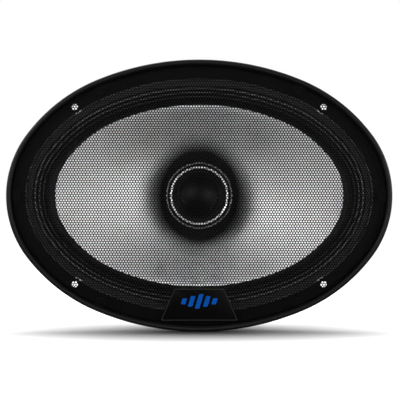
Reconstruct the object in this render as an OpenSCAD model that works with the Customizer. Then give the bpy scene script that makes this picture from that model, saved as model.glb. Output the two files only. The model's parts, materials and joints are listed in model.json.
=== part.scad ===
// Coaxial car speaker, 6 x 9 inch: oval woofer, centre tweeter on a post, snap-in grille.
// Millimetres. The speaker stands upright: X is the long axis, Z is up, and the front looks
// along -Y. The origin is the middle of the flange's seating face. Every module is drawn
// with z towards the listener and y up, and upright() turns it into that frame.

/* [Grille] */
// Width of the grille over its rim
grille_w = 254; // [250:1:258]
// Height of the grille over its rim
grille_h = 179; // [176:1:182]
// Front of the rim, in front of the panel
rim_front = 13; // [12.5:0.1:14]
// Crown of the mesh at the middle
mesh_crown = 3.4; // [2:0.1:5]
// Thickness of the perforated sheet
mesh_t = 0.8; // [0.6:0.1:1]

/* [Mounting] */
// Spacing of the mounting holes along the long axis
hole_pitch_x = 164.5; // [163:0.5:166]
// Spacing of the mounting holes along the short axis
hole_pitch_y = 117; // [116:0.5:118]
// Diameter of the mounting holes
hole_d = 4.2; // [4:0.1:4.8]
// Thickness of the basket's steel
steel_t = 1.2; // [1:0.1:1.4]

/* [Woofer] */
// Radius of the circular crease where the cone steepens
crease_r = 38; // [35:1:40]
// Depth of the crease behind the panel
crease_z = 14; // [12:0.5:15]
// Outer radius of the voice coil former
former_r = 14.5; // [14.4:0.1:14.6]
// Outer radius of the ferrite magnet
magnet_r = 45; // [44:1:46]
// Thickness of the ferrite magnet
magnet_t = 17; // [16:1:18]

/* [Tweeter] */
// Outer radius of the tweeter's bezel
bezel_r = 21.8; // [21.5:0.1:22.4]
// Radius of the soft dome
dome_r = 12.3; // [12.2:0.1:12.4]
// Outer radius of the post
post_r = 4.4; // [4.2:0.1:4.4]

/* [Hidden] */
$fn = 96;

// The outline is eight arcs that meet on 3-4-5 and 5-12-13 directions, so every inward
// offset of it keeps the same centres. D5 and D13 are those two directions.
D5 = [4 / 5, 3 / 5];
D13 = [5 / 13, 12 / 13];
OVAL_K = (grille_w - grille_h) / 2;
END_STEP = 7 * OVAL_K / 30 * 5;
SIDE_STEP = 2 * OVAL_K / 15 * 13;
END_C = END_STEP * D5[0] + SIDE_STEP * D13[0];
END_R = grille_w / 2 - END_C;
SHOULDER_C = [END_C - END_STEP * D5[0], -END_STEP * D5[1]];
SHOULDER_R = END_R + END_STEP;
SIDE_C = [0, SHOULDER_C[1] - SIDE_STEP * D13[1]];
SIDE_R = SHOULDER_R + SIDE_STEP;
// Normal directions where the arcs meet
END_ANGLE = atan2(D5[1], D5[0]);
SIDE_ANGLE = atan2(D13[1], D13[0]);
WEDGE_L = 260;
// One row per arc: centre, radius, and the directions of its two ends
ARCS = [
    [[END_C, 0], END_R, [D5[0], -D5[1]], D5],
    [[-END_C, 0], END_R, [-D5[0], D5[1]], -D5],
    [SIDE_C, SIDE_R, D13, [-D13[0], D13[1]]],
    [-SIDE_C, SIDE_R, -D13, [D13[0], -D13[1]]],
    for (sx = [-1, 1], sy = [-1, 1])
        [[sx * SHOULDER_C[0], sy * SHOULDER_C[1]], SHOULDER_R,
         [sx * D5[0], sy * D5[1]], [sx * D13[0], sy * D13[1]]]
];

// Inward offsets from the outline
RIM_W = 3.3;
RIM_WALL = 2.2;
BASE_OUT = 1.2;
FLANGE_OUT = 4.2;
PEG_OFF = 5.2;
MESH_OUT = 2.4;
MESH_LAND = 3.6;
MESH_RISE = 5.2;
BASE_IN = 13.2;
LAND_OUT = 13.8;
GASKET_IN = 17;
WALL_OFF = 16.4;
PLEAT_OUT = 17.3;
PLEAT_STEP = 2.7;
PLEATS = 4;
CONE_RIM_OUT = 28.3;
CONE_RIM_IN = 31;
SHELF_IN = 25;

// Heights, positive in front of the panel
MESH_EDGE_Z = 10.9;
BASE_TOP = 2.8;
BOSS_TOP = 8.2;
LUG_TOP = 10;
LUG_T = 1.4;
PEG_TIP = 3;
SHELF_Z = -14;
SEAT_Z = -32;
FLOOR_Z = -44;
TOP_PLATE_T = 5;
BACK_PLATE_T = 5.5;
TOP_PLATE_BACK = FLOOR_Z - TOP_PLATE_T;
MAGNET_BACK = TOP_PLATE_BACK - magnet_t;
BACK_Z = MAGNET_BACK - BACK_PLATE_T;
NECK_Z = -27;
POST_TOP = -10;
POST_END = BACK_Z - 3.5;
NUT_T = 3;

// Grille's push-in pegs: peg, its lug on the rim, its socket and the boss round it
PEG_R = 1.2;
LUG_R = 3.6;
SOCKET_R = 1.5;
BOSS_R = 2.6;

// Basket
BOWL_R = 54;
SEAT_R = 45.5;
ARM_W = 18;
WEB_T = 1.5;
// Arms: direction and reach of each
ARMS = [[0, 108], [180, 108], for (s = [-1, 1]) each [[s * 55, 77], [180 - s * 55, 77]]];
WINDOW_ANGLES = [27, 90, 153, 207, 333];
SCREW_R = 34;
SCREW_D = 4;

// Motor
POLE_R = 13.7;
GAP_R = 16.2;
FORMER_T = 0.3;
COIL_R = former_r + 1.1;
COIL_BACK = -52;
COIL_FRONT = -41;
FORMER_FRONT = -24;
POST_BORE = 3;

// Tweeter
CUP_R = 20.4;
CUP_WALL = 1.5;
CUP_FRONT = 4.8;
CUP_FLOOR = POST_TOP + CUP_WALL;
FACE_Z = 2.1;
FACE_T = 1.2;
RING_FRONT = 9;
DOME_Z = 3.7;
DOME_H = 4;
SILK_T = 0.3;
DOME_BALL = (dome_r * dome_r + DOME_H * DOME_H) / (2 * DOME_H);
TW_FORMER_R = 12.05;
TW_BORE = 3.5;
TW_YOKE_R = 14.5;
TW_MAGNET_BACK = -5.5;
TW_PLATE_FRONT = 2;
RING_IN = 17.2;
RING_OUT = 19.2;

// Terminals: middle of each rivet, and the two blade widths
TERM_X = 8;
TERM_Y = -58.5;
TAB_Z = -36;
BLOCK_T = 2.5;
BLOCK_BACK = TAB_Z - steel_t - BLOCK_T;
BLADE_T = 0.8;
BLADE_TIP_Y = -71.8;
RIVET_R = 1.3;
RIVET_HEAD_R = 2.2;
RIVET_HEAD_T = 0.8;
RIVET_BACK = BLOCK_BACK - BLADE_T - RIVET_HEAD_T;

// Capacitor
CAP_R = 6;
CAP_L = 22;
CAP_Y = -53.5;
CAP_Z = -51.5;

// Badge: half widths and edges of its trapezoid, and its tilt
BADGE_TOP_W = 16.2;
BADGE_LOW_W = 25.4;
BADGE_TOP_Y = -60.9;
BADGE_LOW_Y = -82;
BADGE_T = 1.6;
BADGE_Z = 14.1;
BADGE_TILT = 4;
BARS = [4, 7, 9.6, 7, 4];

// Ways along the oval: normal directions for a swept skin, crowded on the tight ends
function quarter() = concat(
    [for (i = [0 : 9]) END_ANGLE * i / 10],
    [for (i = [0 : 5]) END_ANGLE + (SIDE_ANGLE - END_ANGLE) * i / 6],
    [for (i = [0 : 5]) SIDE_ANGLE + (90 - SIDE_ANGLE) * i / 6]);
WAYS = concat(
    quarter(),
    [for (i = [22 : -1 : 1]) 180 - (i == 22 ? 90 : quarter()[i])],
    [for (a = quarter()) 180 + a],
    [for (i = [22 : -1 : 1]) 360 - (i == 22 ? 90 : quarter()[i])]);

// Point of the outline moved inward by d, where the normal points along angle a
function oval_point(a, d) =
    let (q = a <= 90 ? a : a <= 180 ? 180 - a : a <= 270 ? a - 180 : 360 - a,
         sx = a <= 90 || a >= 270 ? 1 : -1,
         sy = a <= 180 ? 1 : -1,
         c = q <= END_ANGLE ? [END_C, 0] : q <= SIDE_ANGLE ? SHOULDER_C : SIDE_C,
         r = (q <= END_ANGLE ? END_R : q <= SIDE_ANGLE ? SHOULDER_R : SIDE_R) - d)
    [sx * (c[0] + r * cos(q)), sy * (c[1] + r * sin(q))];
function oval_ring(d, z) = [for (a = WAYS) let (p = oval_point(a, d)) [p[0], p[1], z]];
function oval_disc(s, d, z) =
    [for (a = WAYS) let (p = oval_point(a, d)) [s * p[0], s * p[1], z]];
// Circle whose points lie on the same rays as the outline's
function round_ring(r, z) =
    [for (a = WAYS) let (p = oval_point(a, CONE_RIM_IN)) [r * p[0] / norm(p), r * p[1] / norm(p), z]];
function mix_ring(one, two, t, z) =
    [for (i = [0 : len(one) - 1]) [(1 - t) * one[i][0] + t * two[i][0],
                                   (1 - t) * one[i][1] + t * two[i][1], z]];

// Catmull-Rom curve through a cord's points, and square-on rings round it
function spline(a, b, c, d, t) =
    (2 * b + (c - a) * t + (2 * a - 5 * b + 4 * c - d) * t * t + (3 * b - a - 3 * c + d) * t * t * t) / 2;
function along(pts, n) =
    let (m = len(pts) - 1)
    concat([for (i = [0 : m - 1], k = [0 : n - 1])
        spline(pts[max(i - 1, 0)], pts[i], pts[i + 1], pts[min(i + 2, m)], k / n)], [pts[m]]);
function unit(v) = v / norm(v);
function side(t, last) = unit(last - t * (last * t));
function sides(ts, start) =
    [for (i = 0, s = side(ts[0], start); i < len(ts); i = i + 1, s = side(ts[min(i, len(ts) - 1)], s)) s];
function cord_rings(path, r, start) =
    let (m = len(path) - 1,
         ts = [for (i = [0 : m]) unit(path[min(i + 1, m)] - path[max(i - 1, 0)])],
         us = sides(ts, start))
    [for (i = [0 : m]) let (v = cross(ts[i], us[i]))
        [for (k = [0 : 7]) path[i] + r * (cos(45 * k) * us[i] + sin(45 * k) * v)]];

// Skin over rings of points: looped joins the last ring to the first, otherwise the ends close
module skin(rings, looped = false) {
    n = len(rings[0]);
    m = len(rings);
    walls = [for (i = [0 : looped ? m - 1 : m - 2], k = [0 : n - 1])
        let (j = (i + 1) % m, l = (k + 1) % n) each
        [[i * n + k, j * n + l, i * n + l], [i * n + k, j * n + k, j * n + l]]];
    caps = looped ? [] : [[for (k = [0 : n - 1]) k], [for (k = [n - 1 : -1 : 0]) (m - 1) * n + k]];
    polyhedron([for (r = rings) each r], concat(walls, caps));
}

module upright() { rotate([90, 0, 0]) children(); }

// Sweeps a closed profile of [inward offset, z] points round the oval, arc by arc
module oval_sweep(profile) {
    for (a = ARCS)
        intersection() {
            translate(a[0]) rotate_extrude() polygon([for (p = profile) [a[1] - p[0], p[1]]]);
            translate([0, 0, -90]) linear_extrude(180)
                polygon([a[0], a[0] + WEDGE_L * a[2], a[0] + WEDGE_L * a[3]]);
        }
}

module tube(r_out, r_in, z0, z1) {
    translate([0, 0, z0]) difference() {
        cylinder(h = z1 - z0, r = r_out);
        translate([0, 0, -1]) cylinder(h = z1 - z0 + 2, r = r_in);
    }
}

module at_mounting_holes() {
    for (sx = [-1, 1], sy = [-1, 1])
        translate([sx * hole_pitch_x / 2, sy * hole_pitch_y / 2, 0]) children();
}

// Six places for the grille's pegs, on the outline's own directions
module at_pegs() {
    for (s = [-1, 1]) translate([s * (grille_w / 2 - PEG_OFF), 0, 0]) children();
    for (sx = [-1, 1], sy = [-1, 1])
        translate([sx * (SIDE_R - PEG_OFF) * D13[0],
                   sy * (SIDE_C[1] + (SIDE_R - PEG_OFF) * D13[1]), 0]) children();
}

module at_basket_screws() {
    for (a = [45 : 90 : 315]) rotate([0, 0, a]) translate([SCREW_R, 0, 0]) children();
}

// ---- Basket and what is fixed to it ----

// Pressed channel from the shelf down to the bowl
module arm(reach) {
    rotate([90, 0, 0]) {
        translate([0, 0, -ARM_W / 2]) linear_extrude(ARM_W)
            polygon([[reach, SHELF_Z + steel_t - 0.2], [reach, SHELF_Z - 0.6],
                     [BOWL_R - 1, SEAT_Z - 3], [BOWL_R - 1, SEAT_Z - 1]]);
        for (s = [-1, 1])
            translate([0, 0, s * (ARM_W - WEB_T) / 2 - WEB_T / 2]) linear_extrude(WEB_T)
                polygon([[reach, SHELF_Z + 0.5], [reach, SHELF_Z - 2.4],
                         [BOWL_R + 2.4, SEAT_Z - 10], [BOWL_R - 1, SEAT_Z - 10],
                         [BOWL_R - 1, SEAT_Z - 2]]);
    }
}

module basket() {
    color([0.09, 0.09, 0.1]) upright() difference() {
        union() {
            oval_sweep([[FLANGE_OUT, 0], [FLANGE_OUT, steel_t], [WALL_OFF + steel_t, steel_t],
                        [WALL_OFF + steel_t, SHELF_Z + steel_t], [SHELF_IN, SHELF_Z + steel_t],
                        [SHELF_IN, SHELF_Z], [WALL_OFF, SHELF_Z], [WALL_OFF, 0]]);
            rotate_extrude()
                polygon([[former_r + 5, FLOOR_Z], [BOWL_R, FLOOR_Z], [BOWL_R, SEAT_Z + steel_t],
                         [SEAT_R, SEAT_Z + steel_t], [SEAT_R, SEAT_Z],
                         [BOWL_R - steel_t, SEAT_Z], [BOWL_R - steel_t, FLOOR_Z + steel_t],
                         [former_r + 5, FLOOR_Z + steel_t]]);
            for (a = ARMS) rotate([0, 0, a[0]]) arm(a[1]);
            difference() {
                translate([-14, -66, TAB_Z - steel_t]) cube([28, 16, steel_t]);
                translate([0, 0, TAB_Z - 2]) cylinder(h = 4, r = BOWL_R - 0.6);
            }
        }
        at_mounting_holes() translate([0, 0, -1]) cylinder(h = 4, d = hole_d);
        at_basket_screws() translate([0, 0, FLOOR_Z - 1]) cylinder(h = 4, d = SCREW_D);
        for (a = WINDOW_ANGLES)
            rotate([0, 0, a]) translate([BOWL_R - 6, -12, FLOOR_Z + 3]) cube([12, 24, 7]);
        for (s = [-1, 1])
            translate([s * TERM_X, TERM_Y, TAB_Z - 3]) cylinder(h = 6, r = RIVET_R + 0.1);
    }
}

module grille_base_ring() {
    color([0.05, 0.05, 0.055]) upright() difference() {
        union() {
            oval_sweep([[BASE_OUT, 0.2], [BASE_OUT, BASE_TOP], [BASE_IN - 1, BASE_TOP],
                        [BASE_IN - 0.8, BASE_TOP + 1.2], [BASE_IN, BASE_TOP + 1.2],
                        [BASE_IN, steel_t], [FLANGE_OUT - 0.3, steel_t], [FLANGE_OUT - 0.3, 0.2]]);
            at_pegs() translate([0, 0, 2]) cylinder(h = BOSS_TOP - 2, r = BOSS_R);
            at_mounting_holes() translate([0, 0, 2]) cylinder(h = 1.6, r = 4.4);
        }
        at_mounting_holes() cylinder(h = 5, d = hole_d);
        at_pegs() translate([0, 0, steel_t + 0.8]) cylinder(h = BOSS_TOP, r = SOCKET_R);
    }
}

module surround_gasket() {
    color([0.06, 0.06, 0.06]) upright()
        oval_sweep([[LAND_OUT, 1.8], [LAND_OUT, 3], [LAND_OUT + 0.4, 3.4], [GASKET_IN - 0.4, 3.4],
                    [GASKET_IN, 3], [GASKET_IN, 1.8]]);
}

// Pleated cloth roll: outer land, four pleats and the land glued to the cone
module surround() {
    top = [for (i = [0 : PLEATS - 1]) let (d = PLEAT_OUT + i * PLEAT_STEP, drop = 0.25 * i)
        each [[d, 1.7 - drop], [d + 0.9, 3.5 - drop], [d + 1.8, 3.5 - drop]]];
    low = [for (i = [PLEATS - 1 : -1 : 0]) let (d = PLEAT_OUT + i * PLEAT_STEP, drop = 0.25 * i)
        each [[d + 1.5, 3 - drop], [d + 1.2, 3 - drop], [d, 1.2 - drop]]];
    color([0.04, 0.04, 0.04]) upright()
        skin([for (p = concat([[LAND_OUT, steel_t], [LAND_OUT, 1.8]], top,
                              [[CONE_RIM_OUT, 0.6], [CONE_RIM_IN, 0.5], [CONE_RIM_IN, 0]],
                              [[CONE_RIM_OUT, 0.1]], low))
            oval_ring(p[0], p[1])], looped = true);
}

// Corrugated cloth disc that centres the voice coil
module spider() {
    pitch = 6;
    count = 5;
    first = former_r + 3;
    crests = [for (i = [0 : count - 1]) each
        [[first + i * pitch, 0], [first + (i + 0.5) * pitch, 1.6]]];
    last = first + count * pitch;
    line = concat([[former_r + 0.1, 2.4], [former_r + 0.8, 0]], crests, [[last, 0], [BOWL_R - 1, 0]]);
    back = [for (i = [len(line) - 1 : -1 : 0]) line[i] + [0, 0.5]];
    color([0.85, 0.62, 0.2]) upright() translate([0, 0, SEAT_Z + steel_t])
        rotate_extrude() polygon(concat(line, back));
}

module top_plate() {
    color([0.7, 0.7, 0.68]) upright() difference() {
        tube(magnet_r - 1.5, GAP_R, TOP_PLATE_BACK, FLOOR_Z);
        at_basket_screws() translate([0, 0, TOP_PLATE_BACK - 1]) cylinder(h = TOP_PLATE_T + 2, d = SCREW_D);
    }
}

module ferrite_magnet() {
    chamfer = 1;
    color([0.2, 0.2, 0.21]) upright() rotate_extrude()
        polygon([[20, MAGNET_BACK], [magnet_r - chamfer, MAGNET_BACK], [magnet_r, MAGNET_BACK + chamfer],
                 [magnet_r, TOP_PLATE_BACK - chamfer], [magnet_r - chamfer, TOP_PLATE_BACK],
                 [20, TOP_PLATE_BACK]]);
}

// Back plate and centre pole in one forging, with the post's bore through it
module yoke() {
    color([0.7, 0.7, 0.68]) upright() rotate_extrude()
        polygon([[post_r + 0.1, BACK_Z], [magnet_r - 3.5, BACK_Z], [magnet_r - 2, BACK_Z + 1.5],
                 [magnet_r - 2, MAGNET_BACK], [POLE_R, MAGNET_BACK], [POLE_R, FLOOR_Z],
                 [POLE_R - 1, FLOOR_Z + 1], [post_r + 0.1, FLOOR_Z + 1]]);
}

// Four pan-head screws that hold the basket to the top plate
module basket_screws() {
    color([0.55, 0.55, 0.56]) upright() at_basket_screws() {
        translate([0, 0, TOP_PLATE_BACK + 0.4]) cylinder(h = TOP_PLATE_T + 1, d = SCREW_D - 0.2);
        difference() {
            translate([0, 0, FLOOR_Z + steel_t]) cylinder(h = 2, r = 3.6);
            for (a = [0, 90]) rotate([0, 0, a])
                translate([-2, -0.4, FLOOR_Z + steel_t + 1]) cube([4, 0.8, 2]);
        }
    }
}

// ---- Terminals, crossover and leads ----

module terminal_block() {
    color([0.12, 0.12, 0.12]) upright() difference() {
        union() {
            translate([-14, -65, BLOCK_BACK]) cube([28, 8.6, BLOCK_T]);
            translate([-0.8, -65, BLOCK_BACK - 4]) cube([1.6, 8.6, 5]);
        }
        for (s = [-1, 1])
            translate([s * TERM_X, TERM_Y, BLOCK_BACK - 1]) cylinder(h = 5, r = RIVET_R + 0.1);
    }
}

// Flat tab terminal, tapered at its tip
module blade(x, w) {
    tip = 1.2;
    translate([x, 0, BLOCK_BACK - BLADE_T]) difference() {
        linear_extrude(BLADE_T)
            polygon([[-w / 2, TERM_Y + 2.4], [-w / 2, BLADE_TIP_Y + tip],
                     [-w / 2 + tip, BLADE_TIP_Y], [w / 2 - tip, BLADE_TIP_Y],
                     [w / 2, BLADE_TIP_Y + tip], [w / 2, TERM_Y + 2.4]]);
        translate([0, TERM_Y, -1]) cylinder(h = 3, r = RIVET_R + 0.1);
        translate([0, -68.5, -1]) cylinder(h = 3, r = 0.9);
    }
}

module terminal_positive() { color([0.8, 0.66, 0.3]) upright() blade(-TERM_X, 6.3); }

module terminal_negative() { color([0.78, 0.78, 0.76]) upright() blade(TERM_X, 4.8); }

module terminal_rivets() {
    color([0.75, 0.74, 0.7]) upright() for (s = [-1, 1]) translate([s * TERM_X, TERM_Y, 0]) {
        translate([0, 0, RIVET_BACK + RIVET_HEAD_T / 2])
            cylinder(h = TAB_Z - RIVET_BACK, r = RIVET_R);
        for (z = [RIVET_BACK, TAB_Z])
            translate([0, 0, z]) cylinder(h = RIVET_HEAD_T, r = RIVET_HEAD_R);
    }
}

// Braided lead from the terminal's rivet round to the back of the cone
module tinsel(s) {
    route = [[TERM_X, TERM_Y, -35], [TERM_X + 1, -58, -32], [TERM_X + 2, -56, -28],
             [TERM_X + 3, -52, -25], [TERM_X + 3, -46, -23.5], [TERM_X + 3, -40, -23.5],
             [TERM_X + 2, -35, -23], [TERM_X + 2, -31.5, -21.3]];
    color([0.72, 0.6, 0.42]) upright() mirror([s < 0 ? 1 : 0, 0, 0])
        skin(cord_rings(along(route, 3), 0.7, [1, 0, 0]));
}

module tinsel_lead_positive() { tinsel(-1); }

module tinsel_lead_negative() { tinsel(1); }

module capacitor() {
    bead = 0.5;
    color([0.1, 0.16, 0.3]) upright() translate([0, CAP_Y, CAP_Z]) rotate([0, 90, 0])
        rotate_extrude() polygon([[0, -CAP_L / 2], [CAP_R - bead, -CAP_L / 2],
            [CAP_R, -CAP_L / 2 + bead], [CAP_R, CAP_L / 2 - 3.2], [CAP_R - bead, CAP_L / 2 - 2.7],
            [CAP_R - bead, CAP_L / 2 - 2.2], [CAP_R, CAP_L / 2 - 1.7], [CAP_R, CAP_L / 2 - bead],
            [CAP_R - bead, CAP_L / 2], [0, CAP_L / 2]]);
}

// Plastic saddle glued to the magnet's edge under the capacitor
module capacitor_saddle() {
    color([0.15, 0.15, 0.15]) upright() difference() {
        translate([-6, -52, CAP_Z - 5]) cube([12, 7.6, 10]);
        translate([0, CAP_Y, CAP_Z]) rotate([0, 90, 0]) cylinder(h = 30, r = CAP_R + 0.1, center = true);
        translate([0, 0, CAP_Z - 10]) cylinder(h = 20, r = magnet_r + 0.1);
    }
}

module capacitor_lead() {
    route = [[-CAP_L / 2 - 0.1, CAP_Y, CAP_Z], [-13, -53.5, -51], [-14.5, -54, -49],
             [-14.5, -55.5, -46], [-13, -57, -43.5], [-10.5, -58, -42.5],
             [-TERM_X - 0.2, TERM_Y + 0.1, RIVET_BACK - 0.5]];
    color([0.7, 0.7, 0.68]) upright() skin(cord_rings(along(route, 2), 0.4, [0, 0, 1]));
}

// Insulated wires from the tweeter, down the post's bore and round the magnet
module tweeter_lead_positive() {
    route = [[-1.2, 0, -9], [-1.2, 0, -40], [-1.2, 0, -72], [-0.8, -0.8, -75.7], [0.4, -3, -77.2],
             [2.6, -8, -76.8], [5.4, -13.5, -74], [8.2, -21, -72.9], [10.8, -30.5, -72.8],
             [13, -40, -73], [14, -45, -71.5], [14.4, -47.2, -67], [14.6, -48, -60], [15.2, -50, -55],
             [14.6, -52.6, -52.2], [13, -53.5, -51.6], [CAP_L / 2 + 0.1, CAP_Y, CAP_Z]];
    color([0.6, 0.08, 0.06]) upright() skin(cord_rings(along(route, 2), 0.6, [1, 0, 0]));
}

module tweeter_lead_negative() {
    route = [[1.2, 0, -9], [1.2, 0, -40], [1.2, 0, -72], [1.6, -0.8, -75.5], [2.8, -3, -77.2],
             [4.9, -7, -76.8], [7.6, -12, -74], [10.6, -20, -72.9], [13, -30, -72.8],
             [15.4, -40, -73], [16.4, -44.6, -71.5], [17, -46.8, -67], [17.6, -47.6, -58],
             [18, -50, -50], [16.5, -54, -45], [13, -57, -43],
             [TERM_X + 0.3, TERM_Y + 0.1, RIVET_BACK - 0.7]];
    color([0.05, 0.05, 0.05]) upright() skin(cord_rings(along(route, 2), 0.6, [1, 0, 0]));
}

// ---- Moving assembly of the woofer ----

// Oval outside, round at the crease and the neck
module cone() {
    rim = oval_ring(CONE_RIM_IN, 0);
    crease = round_ring(crease_r, 0);
    slope = [for (t = [0 : 0.25 : 1]) [t, -0.2 - (crease_z - 0.2) * (0.82 * t + 0.18 * t * t)]];
    front = concat([oval_ring(CONE_RIM_OUT, -0.2)],
        [for (s = slope) mix_ring(rim, crease, s[0], s[1])],
        [round_ring((crease_r + former_r) / 2, (NECK_Z - crease_z) / 2 + 0.6),
         round_ring(former_r + 0.1, NECK_Z)]);
    sheet = 0.8;
    back = [for (i = [len(front) - 1 : -1 : 0]) [for (p = front[i]) p - [0, 0, sheet]]];
    color([0.68, 0.69, 0.7]) upright() skin(concat(front, back), looped = true);
}

module voice_coil_former() {
    color([0.75, 0.55, 0.3]) upright() tube(former_r, former_r - FORMER_T, COIL_BACK, FORMER_FRONT);
}

module voice_coil_winding() {
    color([0.72, 0.38, 0.2]) upright() tube(COIL_R, former_r, COIL_BACK, COIL_FRONT);
}

// Fillet of adhesive that joins the cone to the former
module neck_collar() {
    glue_top = FORMER_FRONT - 0.6;
    color([0.1, 0.1, 0.1]) upright() rotate_extrude()
        polygon([[former_r, NECK_Z + 0.4], [former_r, glue_top], [former_r + 0.6, glue_top],
                 [former_r + 3.4, glue_top + 0.5]]);
}

// Two eyelets where the tinsel leads meet the back of the cone
module lead_eyelets() {
    color([0.75, 0.7, 0.55]) upright() for (s = [-1, 1])
        translate([s * (TERM_X + 2), -31.5, -20.6]) cylinder(h = 1.4, r = 1.6);
}

// ---- Tweeter ----

module tweeter_post() {
    color([0.76, 0.62, 0.3]) upright() tube(post_r, POST_BORE, POST_END, POST_TOP);
}

module post_nut() {
    color([0.7, 0.7, 0.7]) upright() difference() {
        translate([0, 0, BACK_Z - NUT_T]) cylinder(h = NUT_T, r = 7.5, $fn = 6);
        translate([0, 0, BACK_Z - NUT_T - 1]) cylinder(h = NUT_T + 2, r = post_r + 0.1);
    }
}

module tweeter_housing() {
    color([0.05, 0.05, 0.05]) upright() rotate_extrude()
        polygon([[POST_BORE, POST_TOP], [12, POST_TOP], [CUP_R, -2], [CUP_R, CUP_FRONT],
                 [CUP_R - CUP_WALL, CUP_FRONT], [CUP_R - CUP_WALL, -1.4], [11.4, CUP_FLOOR],
                 [POST_BORE, CUP_FLOOR]]);
}

module tweeter_yoke() {
    color([0.7, 0.7, 0.7]) upright() rotate_extrude()
        polygon([[TW_BORE, CUP_FLOOR], [11, CUP_FLOOR], [TW_YOKE_R, -4.8], [TW_YOKE_R, TW_PLATE_FRONT],
                 [TW_YOKE_R - 1.5, TW_PLATE_FRONT], [TW_YOKE_R - 1.5, TW_MAGNET_BACK],
                 [TW_BORE, TW_MAGNET_BACK]]);
}

module tweeter_magnet() {
    color([0.6, 0.6, 0.62]) upright() tube(10.5, TW_BORE, TW_MAGNET_BACK, 0);
}

module tweeter_pole_plate() {
    color([0.7, 0.7, 0.7]) upright() tube(TW_FORMER_R - 0.65, TW_BORE, 0, TW_PLATE_FRONT);
}

// Ring that closes the cup and carries the dome
module tweeter_face_plate() {
    color([0.04, 0.04, 0.04]) upright()
        tube(CUP_R - CUP_WALL - 0.1, TW_YOKE_R - 0.9, FACE_Z, FACE_Z + FACE_T);
}

// Half-round roll between the dome and the face plate
module tweeter_surround() {
    color([0.05, 0.05, 0.05]) upright() rotate_extrude()
        polygon([[dome_r + 0.1, 3.5], [dome_r + 0.4, 4.5], [dome_r + 1.1, 4.9], [dome_r + 1.8, 4.5],
                 [dome_r + 2.1, 3.7], [dome_r + 3.3, 3.7], [dome_r + 3.3, 3.4], [dome_r + 1.8, 3.4],
                 [dome_r + 1.5, 4.3], [dome_r + 1.1, 4.5], [dome_r + 0.7, 4.3], [dome_r + 0.4, 3.5]]);
}

// Bright conical ring round the dome
module tweeter_trim_ring() {
    seat_r = CUP_R - CUP_WALL - 0.1;
    color([0.85, 0.85, 0.86]) upright() rotate_extrude()
        polygon([[RING_IN, FACE_Z + FACE_T], [seat_r, FACE_Z + FACE_T], [seat_r, CUP_FRONT + 0.1],
                 [RING_OUT, CUP_FRONT + 0.1], [RING_OUT, RING_FRONT - 0.3],
                 [RING_OUT - 0.3, RING_FRONT], [RING_IN + 0.8, RING_FRONT], [RING_IN, 4.4]]);
}

module tweeter_bezel() {
    color([0.06, 0.06, 0.06]) upright() rotate_extrude()
        polygon([[RING_OUT + 0.2, CUP_FRONT + 0.1], [bezel_r, CUP_FRONT + 0.1],
                 [bezel_r, RING_FRONT - 0.4], [bezel_r - 0.4, RING_FRONT],
                 [bezel_r - 0.9, RING_FRONT], [bezel_r - 1.2, RING_FRONT - 1],
                 [RING_OUT + 0.2, RING_FRONT - 2]]);
}

module tweeter_dome() {
    color([0.05, 0.05, 0.05]) upright() intersection() {
        translate([0, 0, DOME_Z + DOME_H - DOME_BALL]) difference() {
            sphere(r = DOME_BALL);
            sphere(r = DOME_BALL - SILK_T);
        }
        translate([0, 0, DOME_Z]) cylinder(h = DOME_H + 1, r = dome_r - 0.1);
    }
}

module tweeter_former() {
    color([0.75, 0.55, 0.3]) upright() tube(TW_FORMER_R, TW_FORMER_R - 0.15, -1, DOME_Z);
}

module tweeter_coil() {
    color([0.72, 0.38, 0.2]) upright() tube(TW_FORMER_R + 0.4, TW_FORMER_R, -0.6, 2.2);
}

// ---- Grille ----

module grille_rim() {
    color([0.06, 0.06, 0.065]) upright() {
        oval_sweep([[0.3, 3.2], [0, 4.4], [0, rim_front - 1.6], [0.4, rim_front - 0.5],
                    [1.4, rim_front], [2.5, rim_front - 0.1], [RIM_W, rim_front - 0.8],
                    [RIM_W, MESH_EDGE_Z + 0.1], [RIM_WALL, MESH_EDGE_Z + 0.1], [RIM_WALL, 3.2]]);
        at_pegs() {
            translate([0, 0, LUG_TOP - LUG_T]) cylinder(h = LUG_T, r = LUG_R);
            translate([0, 0, PEG_TIP]) cylinder(h = LUG_TOP - LUG_T / 2 - PEG_TIP, r = PEG_R);
        }
    }
}

// Crowned sheet; the perforation is finer than the solid shows
module grille_mesh() {
    crown = [1, 0.9, 0.75, 0.6, 0.45, 0.3, 0.15, 0.03];
    edge_z = MESH_EDGE_Z + 1.1;
    top = concat([oval_ring(MESH_OUT, MESH_EDGE_Z), oval_ring(MESH_LAND, MESH_EDGE_Z)],
        [for (s = crown) oval_disc(s, MESH_RISE, edge_z + mesh_crown * (1 - s * s))]);
    low = [for (i = [len(top) - 1 : -1 : 0]) [for (p = top[i]) p - [0, 0, mesh_t]]];
    turned = [for (i = [len(top) - 1 : -1 : 0]) top[i]];
    under = [for (i = [len(low) - 1 : -1 : 0]) low[i]];
    color([0.1, 0.1, 0.1]) upright() skin(concat(turned, under));
}

module badge_shape(inset) {
    lean = (BADGE_LOW_W - BADGE_TOP_W) / (BADGE_TOP_Y - BADGE_LOW_Y) * inset;
    polygon([[-BADGE_TOP_W + inset - lean, BADGE_TOP_Y - inset],
             [BADGE_TOP_W - inset + lean, BADGE_TOP_Y - inset],
             [BADGE_LOW_W - inset - lean, BADGE_LOW_Y + inset],
             [-BADGE_LOW_W + inset + lean, BADGE_LOW_Y + inset]]);
}

// Tilts the badge so that it lies along the crown of the mesh
module on_badge(z) {
    translate([0, BADGE_TOP_Y, BADGE_Z]) rotate([BADGE_TILT, 0, 0])
        translate([0, -BADGE_TOP_Y, z]) children();
}

module badge_plate() {
    color([0.02, 0.02, 0.02]) upright() on_badge(0) linear_extrude(BADGE_T) badge_shape(0);
}

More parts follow.
